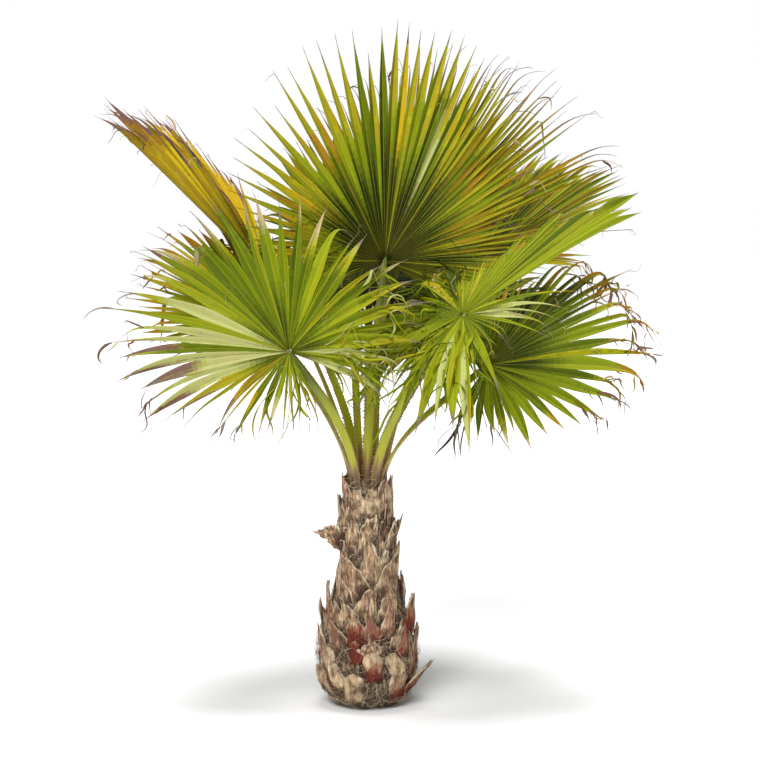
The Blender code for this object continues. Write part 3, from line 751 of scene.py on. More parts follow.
def headings(leaf, look, random, middles, ends, start, distance):
    """How far the free parts leave the plain rule, with the local frame. The heading is the
    slope of the rule, plus a pull down, a sway to one side and a hook at the tip. What it adds
    to the plain heading is summed along the segment."""
    each = (len(middles), 1)
    angle = middles[:, None]
    full = full_reach(leaf, angle)
    slope = way(leaf, angle) - UP * (droop_of(leaf, angle) * (distance / full) ** 2)[..., None]
    free = np.clip((distance - start) / np.maximum(ends[:, None] - start, TINY), 0, 1)
    across = crosswise(leaf, angle)
    limp = dial(look, "limp", angle) * random.uniform(*LIMP_FACTORS, each)
    sway = dial(look, "sway", angle) * random.normal(0, 1, each)
    rise = dial(look, "sway", angle) * random.normal(0, 1, each) * free
    hooked = dial(look, "hook", angle) * random.uniform(*HOOK_FACTORS, each)
    hooked = hooked * (random.random(each) < dial(look, "hooked", angle))
    broken = random.uniform(*BREAK_BENDS, each)
    broken = broken * (random.random(each) < dial(look, "broken", angle))
    break_at = random.uniform(*BREAK_PLACES, each)
    bend = (limp * free ** 1.5 + hooked * ramp(free, HOOK_BEGINS, 1.0)
            + broken * ramp(free, break_at, break_at + BREAK_LENGTH))
    drift = sway * free + hooked * ramp(free, HOOK_SIDEWAYS, 1.0) * random.uniform(-0.5, 0.5, each)
    speed = np.linalg.norm(slope, axis=-1, keepdims=True)
    face = fan_frame(leaf)[1]
    pulled = slope - UP * bend[..., None] + across * drift[..., None] + face * rise[..., None]
    heading = unit(pulled) * speed
    added = heading - slope
    step = np.diff(distance, axis=1)[..., None]
    moved = np.zeros_like(added)
    moved[:, 1:] = np.cumsum((added[:, 1:] + added[:, :-1]) / 2 * step, axis=1)
    along = unit(heading)
    across = unit(across - along * dot(across, along))
    normal = np.cross(along, across)
    twist = (np.radians(dial(look, "twist", angle)) * random.normal(0, 1, each) * free)[..., None]
    turned = across * np.cos(twist) + normal * np.sin(twist)
    return moved, along, turned, np.cross(along, turned), free


# %% [markdown]
# ## One fan as arrays
#
# A segment is a strip that is folded along its rib like a sheet of card. It could be a flat
# ribbon with a bump map, but the fold is what makes a palm leaf catch light on one half and
# lose it on the other, so it is modelled. Up to its split a strip shares its edges with its
# neighbours, and together they are the pleated web. Past it the strip narrows to a thread.

# %% Grid of a fan
ROWS = 30
ROW_POWER = 0.9
PLEAT = 0.80
BULGE = 0.10
HUB_RADIUS = 0.008
RIB_COLUMN = 0.1
RIB_HALF = 0.0012
RIB_SHARE = 0.45
TIP_HALF = 0.0007
COLUMNS = (-1.0, -0.55, -RIB_COLUMN, RIB_COLUMN, 0.55, 1.0)
WIDTH_FADE = 0.35
THREAD_FROM = 0.90


def fan(leaf, look, random, tree):
    """Points of every segment of one fan as (segments, rows, columns, 3), and what the tints
    and threads need. Up to its split an edge stands off the plane by its pleat, at a height that
    both neighbours share. Past it the half width shrinks from its widest row to a thread."""
    edges, middles, ends, splits = layout(leaf, look, random, tree)
    share = np.linspace(0, 1, ROWS) ** ROW_POWER
    distance = HUB_RADIUS + (ends[:, None] - HUB_RADIUS) * share
    start = np.maximum(splits[:-1], splits[1:])[:, None]
    moved, along, across, normal, free = headings(leaf, look, random, middles, ends, start, distance)
    face = fan_frame(leaf)[1]
    angle = middles[:, None]
    plain_across = crosswise(leaf, angle)
    plain_along = way(leaf, angle)
    half = np.diff(edges) / 2
    shared = (np.insert(half, 0, half[0]) + np.append(half, half[-1])) / 2
    middle = spot(leaf, angle, distance) + moved
    grid = np.empty((*distance.shape, len(COLUMNS), 3))
    for side, beside in ((-1, slice(None, -1)), (1, slice(1, None))):
        split = splits[beside, None]
        held = np.minimum(distance, split)
        raised = PLEAT * held * shared[beside, None]
        edge_at = spot(leaf, edges[beside, None], held) + face * raised[..., None]
        reach = edge_at - spot(leaf, angle, held)
        wide_at = np.maximum(dial(look, "shoulder", angle) * ends[:, None], split)
        to_thread = np.maximum(THREAD_FROM * (ends[:, None] - wide_at), TINY)
        gone = np.clip((distance - wide_at) / to_thread, 0, 1)
        narrowed = 1 - (1 - dial(look, "wide", angle)) * ramp(free, 0, WIDTH_FADE)
        growth = narrowed * np.minimum(distance, wide_at) / held
        thread = TIP_HALF / np.maximum(wide_at * half[:, None], TIP_HALF)
        taper = growth * np.maximum(1 - gone ** dial(look, "power", angle), thread)
        taper[:, -1] = 0
        reach = (across * dot(reach, plain_across) + normal * dot(reach, face)
                 + along * dot(reach, plain_along)) * taper[..., None]
        wide = np.linalg.norm(reach, axis=-1)
        rib = np.minimum(RIB_HALF / np.maximum(wide, TINY), RIB_SHARE)
        for column, across_share in enumerate(COLUMNS):
            if across_share * side < 0:
                continue
            u = rib if abs(across_share) == RIB_COLUMN else np.full_like(rib, abs(across_share))
            lift = BULGE * wide * u * (1 - u)
            grid[:, :, column] = middle + reach * u[..., None] + normal * lift[..., None]
    return grid, dict(free=free, middles=middles, splits=splits, edges=edges, share=share)


# %% [markdown]
# ## Dealing out the tints
#
# Age shows from the tips inwards. A segment has a body tint, dealt by weight or by its angle,
# and a darker heart near the hub, which is painted shade. Over them come a stretch that yellows,
# one that dries, patches at chosen angles, a paler line along the rib and last the grey or brown
# of the tip. Each stretch fades in. One half of the fold is painted darker, as shade, and the other
# lighter, as the lit side. The wanted colour of each face is then exchanged for the nearest of the
# plain leaf tints.

# %% Tints of a fan
FADE = 0.16
# Painted shade on the folds: HALF_SHADE is how much the darker half varies from one segment to the next, and
# SHADES bounds the painted shade and light. SPECKLE is random tone of the leaf.
HALF_SHADE = 0.20
SPECKLE = 0.03
SHADES = (0.45, 1.6)
NEVER = 9.0
BAND_BEGINS = (-0.10, 0.07)
BAND_ENDS = 0.05
TIP_BEGINS = (-0.12, 0.06)


def nearest_tint(colours):
    """The index of the palette colour nearest to each colour, compared by square roots."""
    flat = np.sqrt(colours.reshape(-1, 1, 3)) - np.sqrt(PALETTE_COLOURS)[None]
    return (flat ** 2).sum(axis=-1).argmin(axis=-1).reshape(colours.shape[:-1])


def tints_of(look, facts, random):
    """A palette tint for each face, as (segments, rows - 1, columns - 1). Each stretch is
    blended in by a ramp of the share along the segment, from a start drawn for the segment."""
    count = len(facts["middles"])
    names = list(look["body"])
    weights = np.array([look["body"][name] for name in names], float)
    picks = random.choice(len(names), count, p=weights / weights.sum())
    body = np.array([TINTS[name] for name in names])[picks]
    degrees = np.degrees(facts["middles"])
    for low, high, name, chance in look["marks"]:
        chosen = (degrees > low) & (degrees < high) & (random.random(count) < chance)
        body[chosen] = TINTS[name]
    faces = (count, ROWS - 1, len(COLUMNS) - 1)
    share = np.broadcast_to(((facts["share"][1:] + facts["share"][:-1]) / 2)[None, :, None], faces)
    free = np.broadcast_to((facts["free"][:, 1:] + facts["free"][:, :-1])[..., None] / 2, faces)
    colour = np.broadcast_to(body[:, None, None], (*faces, 3)).copy()

    def blend(name, weight):
        """Lay a tint over the faces by a weight for each."""
        colour[...] = colour * (1 - weight[..., None]) + np.array(TINTS[name]) * weight[..., None]

    def drawn(chance, low, high):
        """Where a stretch starts on each segment, or NEVER, with a little more for each column."""
        begins = np.where(random.random(count) < chance, random.uniform(low, high, count), NEVER)
        return begins[:, None, None] + random.uniform(-0.05, 0.05, (count, 1, faces[2]))

    # The heart is painted shade: a darker tint near the hub, where the folds and the fans above keep the
    # light off.
    name, chance, (low, high) = look["heart"]
    ends = drawn(chance, low, high)
    blend(name, np.where(ends < NEVER - 1, 1 - ramp(share, ends - FADE, ends + FADE), 0))
    for key in ("aged", "dried"):
        name, chance, (low, high) = look[key]
        begins = drawn(chance, low, high)
        blend(name, ramp(free, begins - FADE, begins + FADE))
    for low, high, name, chance, starts, length in look["bands"]:
        begins = drawn(chance, *starts)
        one_side = random.choice([-1, 0, 1], (count, 1, 1), p=(0.4, 0.2, 0.4))
        inside = ((degrees > low) & (degrees < high))[:, None, None]
        inside = inside & (one_side * (np.arange(faces[2]) - faces[2] // 2) >= 0)
        past = begins + length
        blend(name, inside * ramp(share, begins + BAND_BEGINS[0], begins + BAND_BEGINS[1])
              * (1 - ramp(share, past - BAND_ENDS, past + BAND_ENDS)))
    # Painted shade and light on the pleats: the last two columns of faces are darkened and the others
    # lightened, each by half of fold_shade, and HALF_SHADE varies the dark half. SPECKLE is random tone.
    shade = np.ones(faces)
    shade[:, :, 3:] += HALF_SHADE * random.normal(0, 1, (count, 1, 1)) - look["fold_shade"]
    shade += look["fold_shade"] / 2
    shade += SPECKLE * random.normal(0, 1, faces)
    colour *= np.clip(shade, *SHADES)[..., None]
    pale_rib = (0.2 + 0.35 * ramp(share[:, :, 2], 0.1, 0.45))[..., None]
    colour[:, :, 2] = colour[:, :, 2] * (1 - pale_rib) + np.array(TINTS["rib"]) * pale_rib
    name, begins = look["tip"]
    begins = begins + random.uniform(*TIP_BEGINS, (count, 1, 1))
    blend(name, ramp(free, begins - FADE / 3, begins + FADE / 3))
    return nearest_tint(colour)


# %% [markdown]
# ## Growing the twelve fans
#
# Each fan is one mesh with a thickness of under a millimetre, from a Solidify modifier. The
# back face could be laid out like the front one, but the modifier keeps both in step and closes
# the edges. The order is that of the solids, so each leaf makes room for those before it.

# %% Fans
BLADE_THICKNESS = 0.0007


def thicken(piece):
    """Give a piece that is one sheet of faces the thickness of a leaf."""
    shell = piece.modifiers.new("Thickness", "SOLIDIFY")
    shell.thickness = BLADE_THICKNESS
    shell.offset = 0


fans = {}
earlier = ["trunk"] + [f"stalk_{name}" for name in LEAVES]
for number, (name, leaf) in enumerate(LEAVES.items()):
    look = FULL_LOOKS[name]
    random = np.random.default_rng(100 + number)
    grid, facts = fan(leaf, look, random, tree_of(earlier))
    used, tints = np.unique(tints_of(look, facts, random), return_inverse=True)
    across_map = np.arange(len(grid))[:, None, None] + (np.array(COLUMNS) + 1) / 2
    along_map = np.linalg.norm(grid - np.array(leaf["hub"]), axis=-1)
    tints = tints.reshape(len(grid), ROWS - 1, len(COLUMNS) - 1)
    piece = new_piece(f"fan_{name}", grid, [LEAF_TINTS[i] for i in used], tints, (across_map, along_map))
    thicken(piece)
    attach(piece, "root")
    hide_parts(f"blade_{name}")
    fans[name] = (grid, facts)
    earlier.append(f"blade_{name}")
    print(name, len(grid), "segments", len(piece.data.polygons), "faces")

# %% [markdown]
# ## Stalks
#
# A stalk rises from the ring on the trunk and curves over to its hub. It is flat and channelled
# above and round below, with a row of thorns on each margin. The route is a Bezier curve, the
# same as in the solids, and the section is carried along it. Past the hub it runs on under the
# blade as a tapering rib, which is what makes the fan fold about its middle.

# %% Stalk route and section
TRUNK_HEIGHT = 0.664
GAP = 0.0003
OUTER_RING = 0.049
INNER_RING = 0.018
STALK_BASE = (0.0145, 0.0080)
STALK_TIP = (0.0105, 0.0060)
STALK_END = 0.035
STALK_LEAN = 0.14
FIRST_HANDLE = 0.30
LAST_HANDLE = 0.35
RIB_PULL = 0.6
COSTA_SHARE = 0.20
FOOT_DEPTH = 0.045
FOOT_SHARE = 0.35
STATIONS = 60
RIB_STATIONS = 10
RIB_SINK = 0.004


def stalk_route(leaf):
    """Cubic Bezier from the ring on the trunk to just short of the hub, then straight on under
    the blade. Returns points, headings and the share of the stalk, which passes 1 in the rib."""
    ring, degrees = leaf["place"]
    azimuth = math.radians(degrees)
    outward = np.array([math.cos(azimuth), math.sin(azimuth), 0])
    start = outward * (OUTER_RING if ring == "outer" else INNER_RING) + UP * (TRUNK_HEIGHT + GAP)
    hub = np.array(leaf["hub"])
    rib, face, side = fan_frame(leaf)
    end_way = unit(unit(hub - start) + rib * RIB_PULL)
    end = hub - end_way * STALK_END
    length = np.linalg.norm(end - start)
    handles = np.array([start, start + (UP + outward * STALK_LEAN) * length * FIRST_HANDLE,
                        end - end_way * length * LAST_HANDLE, end])
    t = np.linspace(0, 1, STATIONS)[:, None]
    s = 1 - t
    path = np.hstack([s ** 3, 3 * s * s * t, 3 * s * t * t, t ** 3]) @ handles
    path[0] -= UP * FOOT_DEPTH
    path[1] = path[0] * FOOT_SHARE + path[2] * (1 - FOOT_SHARE)
    costa = leaf["reach"] * COSTA_SHARE
    out = np.linspace(0, costa, RIB_STATIONS)[1:, None]
    settle = ramp(out, 0, STALK_END * 1.5)
    straight = end_way * out * (1 - settle)
    under_blade = (hub - end + rib * np.maximum(out - STALK_END, 0)) * settle
    path = np.vstack([path, end + straight + under_blade - face * RIB_SINK])
    share = np.concatenate([t[:, 0], 1 + out[:, 0] / costa])
    around = np.cross(UP, outward)
    around = around if around @ side > 0 else -around
    return path, share, around, side, outward


def stalk_section(leaf, columns=20):
    """Points of the stalk's skin, (rows, columns + 1, 3), its margins and its frame. The
    lower half is a half ellipse, and the upper half a shallow channel between raised margins."""
    path, share, around, side, outward = stalk_route(leaf)
    along = unit(np.gradient(path, axis=0))
    t = np.clip(share, 0, 1)[:, None]
    across = around * (1 - t) + side * t
    across = unit(across - along * dot(across, along))
    thick = np.cross(along, across)
    if thick[STATIONS // 2] @ (UP - outward) < 0:
        thick = -thick
    fade = np.clip(2 - share, 0.06, 1)[:, None]
    wide = (STALK_BASE[0] + (STALK_TIP[0] - STALK_BASE[0]) * t) * fade
    deep = (STALK_BASE[1] + (STALK_TIP[1] - STALK_BASE[1]) * t) * (0.35 + 0.65 * fade)
    turn = np.linspace(0, TURN, columns + 1)
    x = np.cos(turn)
    y = np.where(np.sin(turn) < 0, np.sin(turn), 0.55 - 0.5 * (1 - x ** 2))
    y = np.where(abs(np.sin(turn)) < 1e-9, 0.25, y)
    skin = path[:, None] + across[:, None] * (wide * x)[..., None] + thick[:, None] * (deep * y)[..., None]
    return skin, path, share, across, thick, wide, along


# %% [markdown]
# Thorns are small flat horns, bent back towards the trunk, that stand on both margins from the
# foot of the stalk to the hub and get shorter on the way. Each is a few rings that shrink to a
# point.

# %% Thorns
THORN_SPACING = 0.011
THORN_LENGTH = 0.009
THORN_SIZES = (0.6, 1.2)
THORN_FOOT = 0.93
THORN_BEND = 0.55
THORN_TAPER = 0.45
THORN_OVAL = (0.36, 0.16)


def thorns(path, across, along, thick, wide, random):
    """Horns on both margins, (horns, rings, columns, 3): a thin oval carried out across the
    stalk and bent down along it, shrinking to a point."""
    length = np.linalg.norm(np.diff(path[:STATIONS], axis=0), axis=1)
    travel = np.concatenate([[0], np.cumsum(length)])
    count = int(travel[-1] / THORN_SPACING)
    rings = np.array([0.0, 0.35, 0.7, 1.0])
    turn = np.linspace(0, TURN, 5)[:, None]
    grids = []
    for side in (-1, 1):
        at = (np.arange(count) + random.uniform(0.2, 0.8, count)) * THORN_SPACING
        row = np.clip(np.searchsorted(travel, at), 1, STATIONS - 2)
        size = THORN_LENGTH * random.uniform(*THORN_SIZES, count) * (1 - THORN_TAPER * at / travel[-1])
        out = across[row] * side
        reach = rings[None, :, None] * size[:, None, None]
        centre = (path[row] + out * wide[row] * THORN_FOOT)[:, None] + out[:, None] * reach
        centre = centre - along[row][:, None] * (reach ** 2 / size[:, None, None]) * THORN_BEND
        radius = (1 - rings ** 1.3)[None, :, None, None] * size[:, None, None, None]
        ring = (along[row][:, None, None] * np.cos(turn) * THORN_OVAL[0]
                + thick[row][:, None, None] * np.sin(turn) * THORN_OVAL[1])
        grids.append(centre[:, :, None] + ring * radius)
    return np.concatenate(grids)


# %% [markdown]
# A finish that changes over the surface is a small circuit of nodes: one gives a place, others
# turn it into a share, and the last mix two colours by that share. Each helper adds one or two
# nodes and hands on its socket, so that a finish reads like a sum.

# %% Node helpers
def map_parts(tree):
    """The two numbers of the piece's own map: across and along."""
    place = tree.nodes.new("ShaderNodeUVMap")
    parts = tree.nodes.new("ShaderNodeSeparateXYZ")
    tree.links.new(place.outputs["UV"], parts.inputs["Vector"])
    return parts.outputs["X"], parts.outputs["Y"]


def colour_ramp(tree, value, stops):
    """A colour ramp node fed by a value. stops is (position, colour) pairs."""
    node = tree.nodes.new("ShaderNodeValToRGB")
    tree.links.new(value, node.inputs["Fac"])
    elements = node.color_ramp.elements
    while len(elements) < len(stops):
        elements.new(0.5)
    for element, (position, colour) in zip(elements, stops):
        element.position = position
        element.color = (*colour, 1)
    return node.outputs["Color"]


def maths(tree, operation, a, b=None):
    """A Math node on sockets or numbers."""
    node = tree.nodes.new("ShaderNodeMath")
    node.operation = operation
    for socket, value in zip(node.inputs, (a, b)):
        if isinstance(value, (int, float)):
            socket.default_value = value
        elif value is not None:
            tree.links.new(value, socket)
    return node.outputs[0]


def shifted(tree, value, strength):
    """Noise near 0.5 made into a shift about 0: what it has over 0.5, times a strength."""
    return maths(tree, "MULTIPLY", maths(tree, "SUBTRACT", value, 0.5), strength)


def mixed(tree, share, a, b, blend="MIX"):
    """A colour between a and b. Each is a socket or a colour."""
    node = tree.nodes.new("ShaderNodeMix")
    node.data_type = "RGBA"
    node.blend_type = blend
    for socket, value in ((node.inputs[0], share), (node.inputs[6], a), (node.inputs[7], b)):
        if isinstance(value, tuple):
            socket.default_value = (*value, 1)
        elif isinstance(value, (int, float)):
            socket.default_value = value
        else:
            tree.links.new(value, socket)
    return node.outputs[2]


def laid_over(tree, under, over, share, strength):
    """One colour laid over another by a share times a strength."""
    return mixed(tree, maths(tree, "MULTIPLY", share, strength), under, over)


# %% [markdown]
# The skin is yellow-green with a brown line along each margin. At the foot, where it comes out of
# the trunk, it is purple-brown. Towards the hub and under the blade it is darkened to the dark green
# of the leaf, which is painted shade. All of it follows the piece's own map: one side of that runs
# round the stalk and the other from the foot to the end of the rib. A ramp with noise in it could
# be swapped for a painted picture, but the ramp stays sharp from close by.

# %% Stalk finish
# From purple-brown at the foot to yellow-green, and then a dark green towards the hub and under the blade,
# which is painted shade.
STALK_AND_SHADE_COLOURS = [
    (0.00, (0.10, 0.030, 0.028)), (0.035, (0.15, 0.050, 0.040)), (0.065, (0.28, 0.17, 0.030)),
    (0.10, (0.38, 0.37, 0.004)), (0.28, (0.33, 0.35, 0.003)), (0.43, (0.07, 0.080, 0.001)),
    (1.00, (0.10, 0.11, 0.001))]
STALK_MARGIN = (0.30, 0.19, 0.06)
STALK_STREAK = (0.17, 0.20, 0.004)


def stalk_finish():
    """A ramp of colours from foot to end whose borders noise shifts, a margin where the cosine
    round the stalk is near 1 or -1, and long streaks that also raise the skin."""
    made = plain("stalk_skin", (0.34, 0.40, 0.07), 0.38)
    tree = made.node_tree
    around, up = map_parts(tree)
    shift = shifted(tree, noise(made, "UV", (7, 9, 1), 4), 0.16)
    body = colour_ramp(tree, maths(tree, "ADD", up, shift), STALK_AND_SHADE_COLOURS)
    beside = maths(tree, "ABSOLUTE", maths(tree, "COSINE", maths(tree, "MULTIPLY", around, TURN)))
    margin = colour_ramp(tree, beside, [(0.90, (0, 0, 0)), (0.97, (0.9, 0.9, 0.9))])
    body = mixed(tree, margin, body, STALK_MARGIN)
    streaks = noise(made, "UV", (34, 1.5, 1), 2)
    body = laid_over(tree, body, STALK_STREAK, streaks, 0.35)
    tree.links.new(body, tree.nodes["Principled BSDF"].inputs["Base Color"])
    add_bump(made, streaks, 0.0008)
    return made


STALK_SKIN = stalk_finish()
THORN_TIP = plain("thorn", (0.27, 0.17, 0.06), 0.5)

# %% Stalks
for number, (name, leaf) in enumerate(LEAVES.items()):
    skin, path, share, across, thick, wide, along = stalk_section(leaf)
    columns = skin.shape[1]
    foot, end = (np.broadcast_to(point, (1, columns, 3)) for point in (path[0], path[-1]))
    closed = np.concatenate([foot, skin, end])[None]
    uv = np.linspace(0, 1, columns), np.concatenate([[0], share / 2, [1]])[:, None]
    piece = new_piece(f"petiole_{name}", closed, [STALK_SKIN], uv=uv)
    weld(piece)
    random = np.random.default_rng(300 + number)
    spikes = thorns(path, across, along, thick, wide, random)
    horns = new_piece(f"thorns_{name}", spikes, [THORN_TIP])
    weld(horns)
    for made in (piece, horns):
        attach(made, "root")
        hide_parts(f"stalk_{name}")
    print(name, "stalk with", len(spikes), "thorns")

# %% [markdown]
# ## Threads
#
# The splits of a fan shed pale threads that curl and hang, and its tips end in darker ones.
# They give this palm its untidy look. Each is a thin tube along a path whose heading turns in
# circles while it sinks. Simulated strands would hang as well, but not the same way each run.

# %% Threads
ASKEW = np.array([0.31, 0.52, 0.8])
THREAD_POINTS = 18
SPLIT_THREADS = dict(colour=(0.36, 0.32, 0.10), radius=0.0009)
TIP_THREADS = dict(colour=(0.18, 0.13, 0.09), radius=0.0008)
TIP_THREAD_SHARE = 0.7
THREAD_THICKNESSES = (0.5, 1.3)
THREAD_END = 0.4


def tubes(paths, radii, sides=3):
    """Round threads: a ring of points round each point of each path, closed at both ends.
    paths is (threads, points, 3) and radii (threads, points). The ring stands square to the
    path, and one vector that no path follows fixes where it starts."""
    along = unit(np.gradient(paths, axis=1))
    across = unit(np.cross(along, ASKEW))
    over = np.cross(along, across)
    turn = np.linspace(0, TURN, sides + 1)
    ring = across[:, :, None] * np.cos(turn)[:, None] + over[:, :, None] * np.sin(turn)[:, None]
    radii = radii.copy()
    radii[:, 0] = 0
    radii[:, -1] = 0
    return paths[:, :, None] + ring * radii[:, :, None, None]


def curls(starts, ways, lengths, random, curl=0.9, fall=1.2):
    """Paths that set out one way, sink, and turn in circles: the heading is the first way,
    fading, plus a pull down that grows, plus a vector that goes round, all added up."""
    count = len(starts)
    t = np.linspace(0, 1, THREAD_POINTS)[None, :, None]
    one = unit(random.normal(size=(count, 1, 3)))
    two = unit(np.cross(one, random.normal(size=(count, 1, 3))))
    turns = random.uniform(2, 9, (count, 1, 1))
    phase = random.uniform(0, TURN, (count, 1, 1))
    size = curl * random.uniform(0.3, 1.3, (count, 1, 1))
    round_it = one * np.cos(turns * t + phase) + two * np.sin(turns * t + phase)
    heading = unit(ways[:, None] * (1 - t) - UP * fall * t + round_it * size * (0.3 + t))
    step = (lengths / (THREAD_POINTS - 1))[:, None, None]
    return starts[:, None] + np.cumsum(heading * step, axis=1) - heading[:, :1] * step


split_paths, tip_paths = [], []
for number, (name, leaf) in enumerate(LEAVES.items()):
    random = np.random.default_rng(500 + number)
    threads = FULL_LOOKS[name]["threads"]
    grid, facts = fans[name]
    splits = facts["splits"][1:-1]
    chosen = np.flatnonzero(random.random(len(splits)) < threads)
    angles = facts["edges"][1:-1][chosen]
    ways = unit(way(leaf, angles) + random.normal(0, 0.5, (len(chosen), 3)))
    lengths = random.uniform(0.03, 0.12, len(chosen))
    split_paths.append(curls(spot(leaf, angles, splits[chosen]), ways, lengths, random))
    chosen = np.flatnonzero(random.random(len(grid)) < threads * TIP_THREAD_SHARE)
    tips = grid[chosen, -2].mean(axis=1)
    ways = unit(tips - grid[chosen, -6].mean(axis=1))
    lengths = random.uniform(0.015, 0.07, len(chosen))
    tip_paths.append(curls(tips, ways, lengths, random, curl=1.4, fall=0.8))
for kind, paths, finish in (("split", split_paths, SPLIT_THREADS), ("tip", tip_paths, TIP_THREADS)):
    paths = np.concatenate(paths)
    thick = np.random.default_rng(77).uniform(*THREAD_THICKNESSES, (len(paths), 1)) * finish["radius"]
    hanging = tubes(paths, thick * np.linspace(1, THREAD_END, THREAD_POINTS))
    threads = new_piece(f"threads_{kind}", hanging, [plain(f"thread_{kind}", finish["colour"], 0.7)])
    weld(threads)
    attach(threads, "root")
    print(len(paths), "threads at each", kind)

# %% [markdown]
# ## Shreds
#
# Wind tears strips off the blades, and they curl up between the fans in the middle of the crown
# and at dry tips. A shred follows the same kind of path as a thread, and is a folded ribbon. It
# could be cut out of a fan, but then each fan would need a finer grid all over.

# %% Shreds
SHRED_HALF = (0.0015, 0.0055)
SHRED_FOLD = 0.35


def ribbons(paths, half, random):
    """Folded ribbons, (shreds, points, 3, 3): two edges that turn about the path as it runs on,
    and a middle that sinks below them. They are narrow at the start and end in a point."""
    t = np.linspace(0, 1, THREAD_POINTS)[None, :, None]
    along = unit(np.gradient(paths, axis=1))
    first = unit(random.normal(size=(len(paths), 1, 3)))
    across = unit(first - along * dot(first, along))
    over = np.cross(along, across)
    turn = random.uniform(-3, 3, (len(paths), 1, 1)) * t
    cosine, sine = np.cos(turn), np.sin(turn)
    across, over = across * cosine + over * sine, over * cosine - across * sine
    wide = half[:, None, None] * np.minimum(0.4 + 3 * t, 1) * (1 - t ** 2)
    middle = paths - over * wide * SHRED_FOLD
    return np.stack([paths - across * wide, middle, paths + across * wide], axis=2)


shred_paths, shred_tints = [], []
random = np.random.default_rng(700)
for name, (grid, facts) in fans.items():
    degrees = np.degrees(facts["middles"])
    for low, high, count, shares, lengths, names in FULL_LOOKS[name]["shreds"]:
        chosen = random.choice(np.flatnonzero((degrees > low) & (degrees < high)), count)
        row = (random.uniform(*shares, count) * (ROWS - 2)).astype(int)
        starts = grid[chosen, row].mean(axis=1)
        ways = unit(grid[chosen, row + 1].mean(axis=1) - starts)
        ways = unit(ways + random.normal(0, 0.45, (count, 3)))
        lengths = random.uniform(*lengths, count)
        shred_paths.append(curls(starts, ways, lengths, random, curl=0.5, fall=0.6))
        tints = random.choice(names.split(), count)
        shred_tints.append(nearest_tint(np.array([TINTS[tint] for tint in tints])))
shred_paths = np.concatenate(shred_paths)
shreds = ribbons(shred_paths, random.uniform(*SHRED_HALF, len(shred_paths)), random)
used, tints = np.unique(np.concatenate(shred_tints), return_inverse=True)
uv = np.linspace(0, 1, 3), np.linspace(0, 0.2, THREAD_POINTS)[:, None]
torn_off = new_piece("shreds", shreds, [LEAF_TINTS[i] for i in used], tints[:, None, None], uv)
thicken(torn_off)
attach(torn_off, "root")
print(len(shreds), "shreds")

# %% [markdown]
# ## Trunk
#
# Under the leaf bases the trunk is a mat of brown fibre on a bulb that narrows to a neck. The
# radius is a quarter ellipse up to the bulb and a bell curve above, as in the solid. The top is
# a hollow cup round the feet of the living stalks, and ripples raise and sink the whole.

# %% Trunk core
CUT_RADIUS = 0.070
BULB_RADIUS = 0.137
BULB_HEIGHT = 0.160
SHOULDER = 0.160
NECK_RADIUS = 0.071
CUP_RADIUS = 0.060
CUP_DEPTH = 0.050
RIM_BELOW = 0.012
SKIN_SINK = 0.002


def trunk_radius(height):
    """Quarter ellipse from the cut up to the bulb, then a bell curve into the neck."""
    drop = np.clip((BULB_HEIGHT - height) / BULB_HEIGHT, 0, 1)
    rise = np.maximum(height - BULB_HEIGHT, 0) / SHOULDER
    below = CUT_RADIUS + (BULB_RADIUS - CUT_RADIUS) * np.sqrt(1 - drop * drop)
    above = NECK_RADIUS + (BULB_RADIUS - NECK_RADIUS) * np.exp(-rise * rise)
    return np.where(height < BULB_HEIGHT, below, above)


def bark_core(rows=160, columns=220):
    """The turned profile on a grid of height and azimuth, with ripples, and four rings that
    close the foot and line the cup."""
    rim = TRUNK_HEIGHT - RIM_BELOW
    height = np.linspace(0, rim, rows)[:, None]
    azimuth = np.linspace(0, TURN, columns + 1)[None, :]
    outward = np.stack([np.cos(azimuth), np.sin(azimuth), 0 * azimuth], axis=-1)
    smooth = outward * trunk_radius(height)[..., None] + UP * height[..., None]
    stretched = smooth * np.array([1, 1, 0.35])
    relief = 0.0026 * ripples(smooth, 0.030, 1) + 0.0018 * ripples(stretched, 0.007, 2)
    skin = smooth + outward * (relief * ramp(height, 0, 0.02) - SKIN_SINK)[..., None]
    floor_at = TRUNK_HEIGHT - CUP_DEPTH
    closing = [(0.0, 0.0), (CUP_RADIUS, rim), (CUP_RADIUS - 0.004, floor_at), (0.0, floor_at)]
    foot, *cup = [outward * radius + UP * at for radius, at in closing]
    return np.concatenate([foot, skin, *cup])[None]


# %% [markdown]
# The mat is seen only between the bases, so its finish is one noise that picks a brown and raises
# the surface, stretched upwards as the fibres run. Its browns go down to nearly black, partly the
# fibre's own colour and partly painted shade in the gaps between the bases.

# %% Bark finish
# Browns of the fibre, darkened towards black partly as painted shade in the gaps between the bases.
FIBRE_AND_GAP_SHADE = [
    (0.40, (0.008, 0.005, 0.003)), (0.49, (0.07, 0.044, 0.026)), (0.58, (0.28, 0.20, 0.12)),
    (0.70, (0.62, 0.48, 0.32))]


def fibre_finish():
    """A mat of fine fibre: noise picks the brown, from nearly black to pale, and raises it. The
    darkest browns are partly painted shade in the gaps.
    """
    made = plain("bark_fibre", (0.16, 0.10, 0.06), 0.92)
    tree = made.node_tree
    mat = noise(made, "Object", (120, 120, 60), 6, 0.7)
    tree.links.new(colour_ramp(tree, mat, FIBRE_AND_GAP_SHADE), tree.nodes["Principled BSDF"].inputs["Base Color"])
    add_bump(made, mat, 0.008)
    return made


core = new_piece("bark_core", bark_core(), [fibre_finish()])
weld(core)
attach(core, "root")
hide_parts("trunk")
print("bark core,", len(core.data.polygons), "faces")

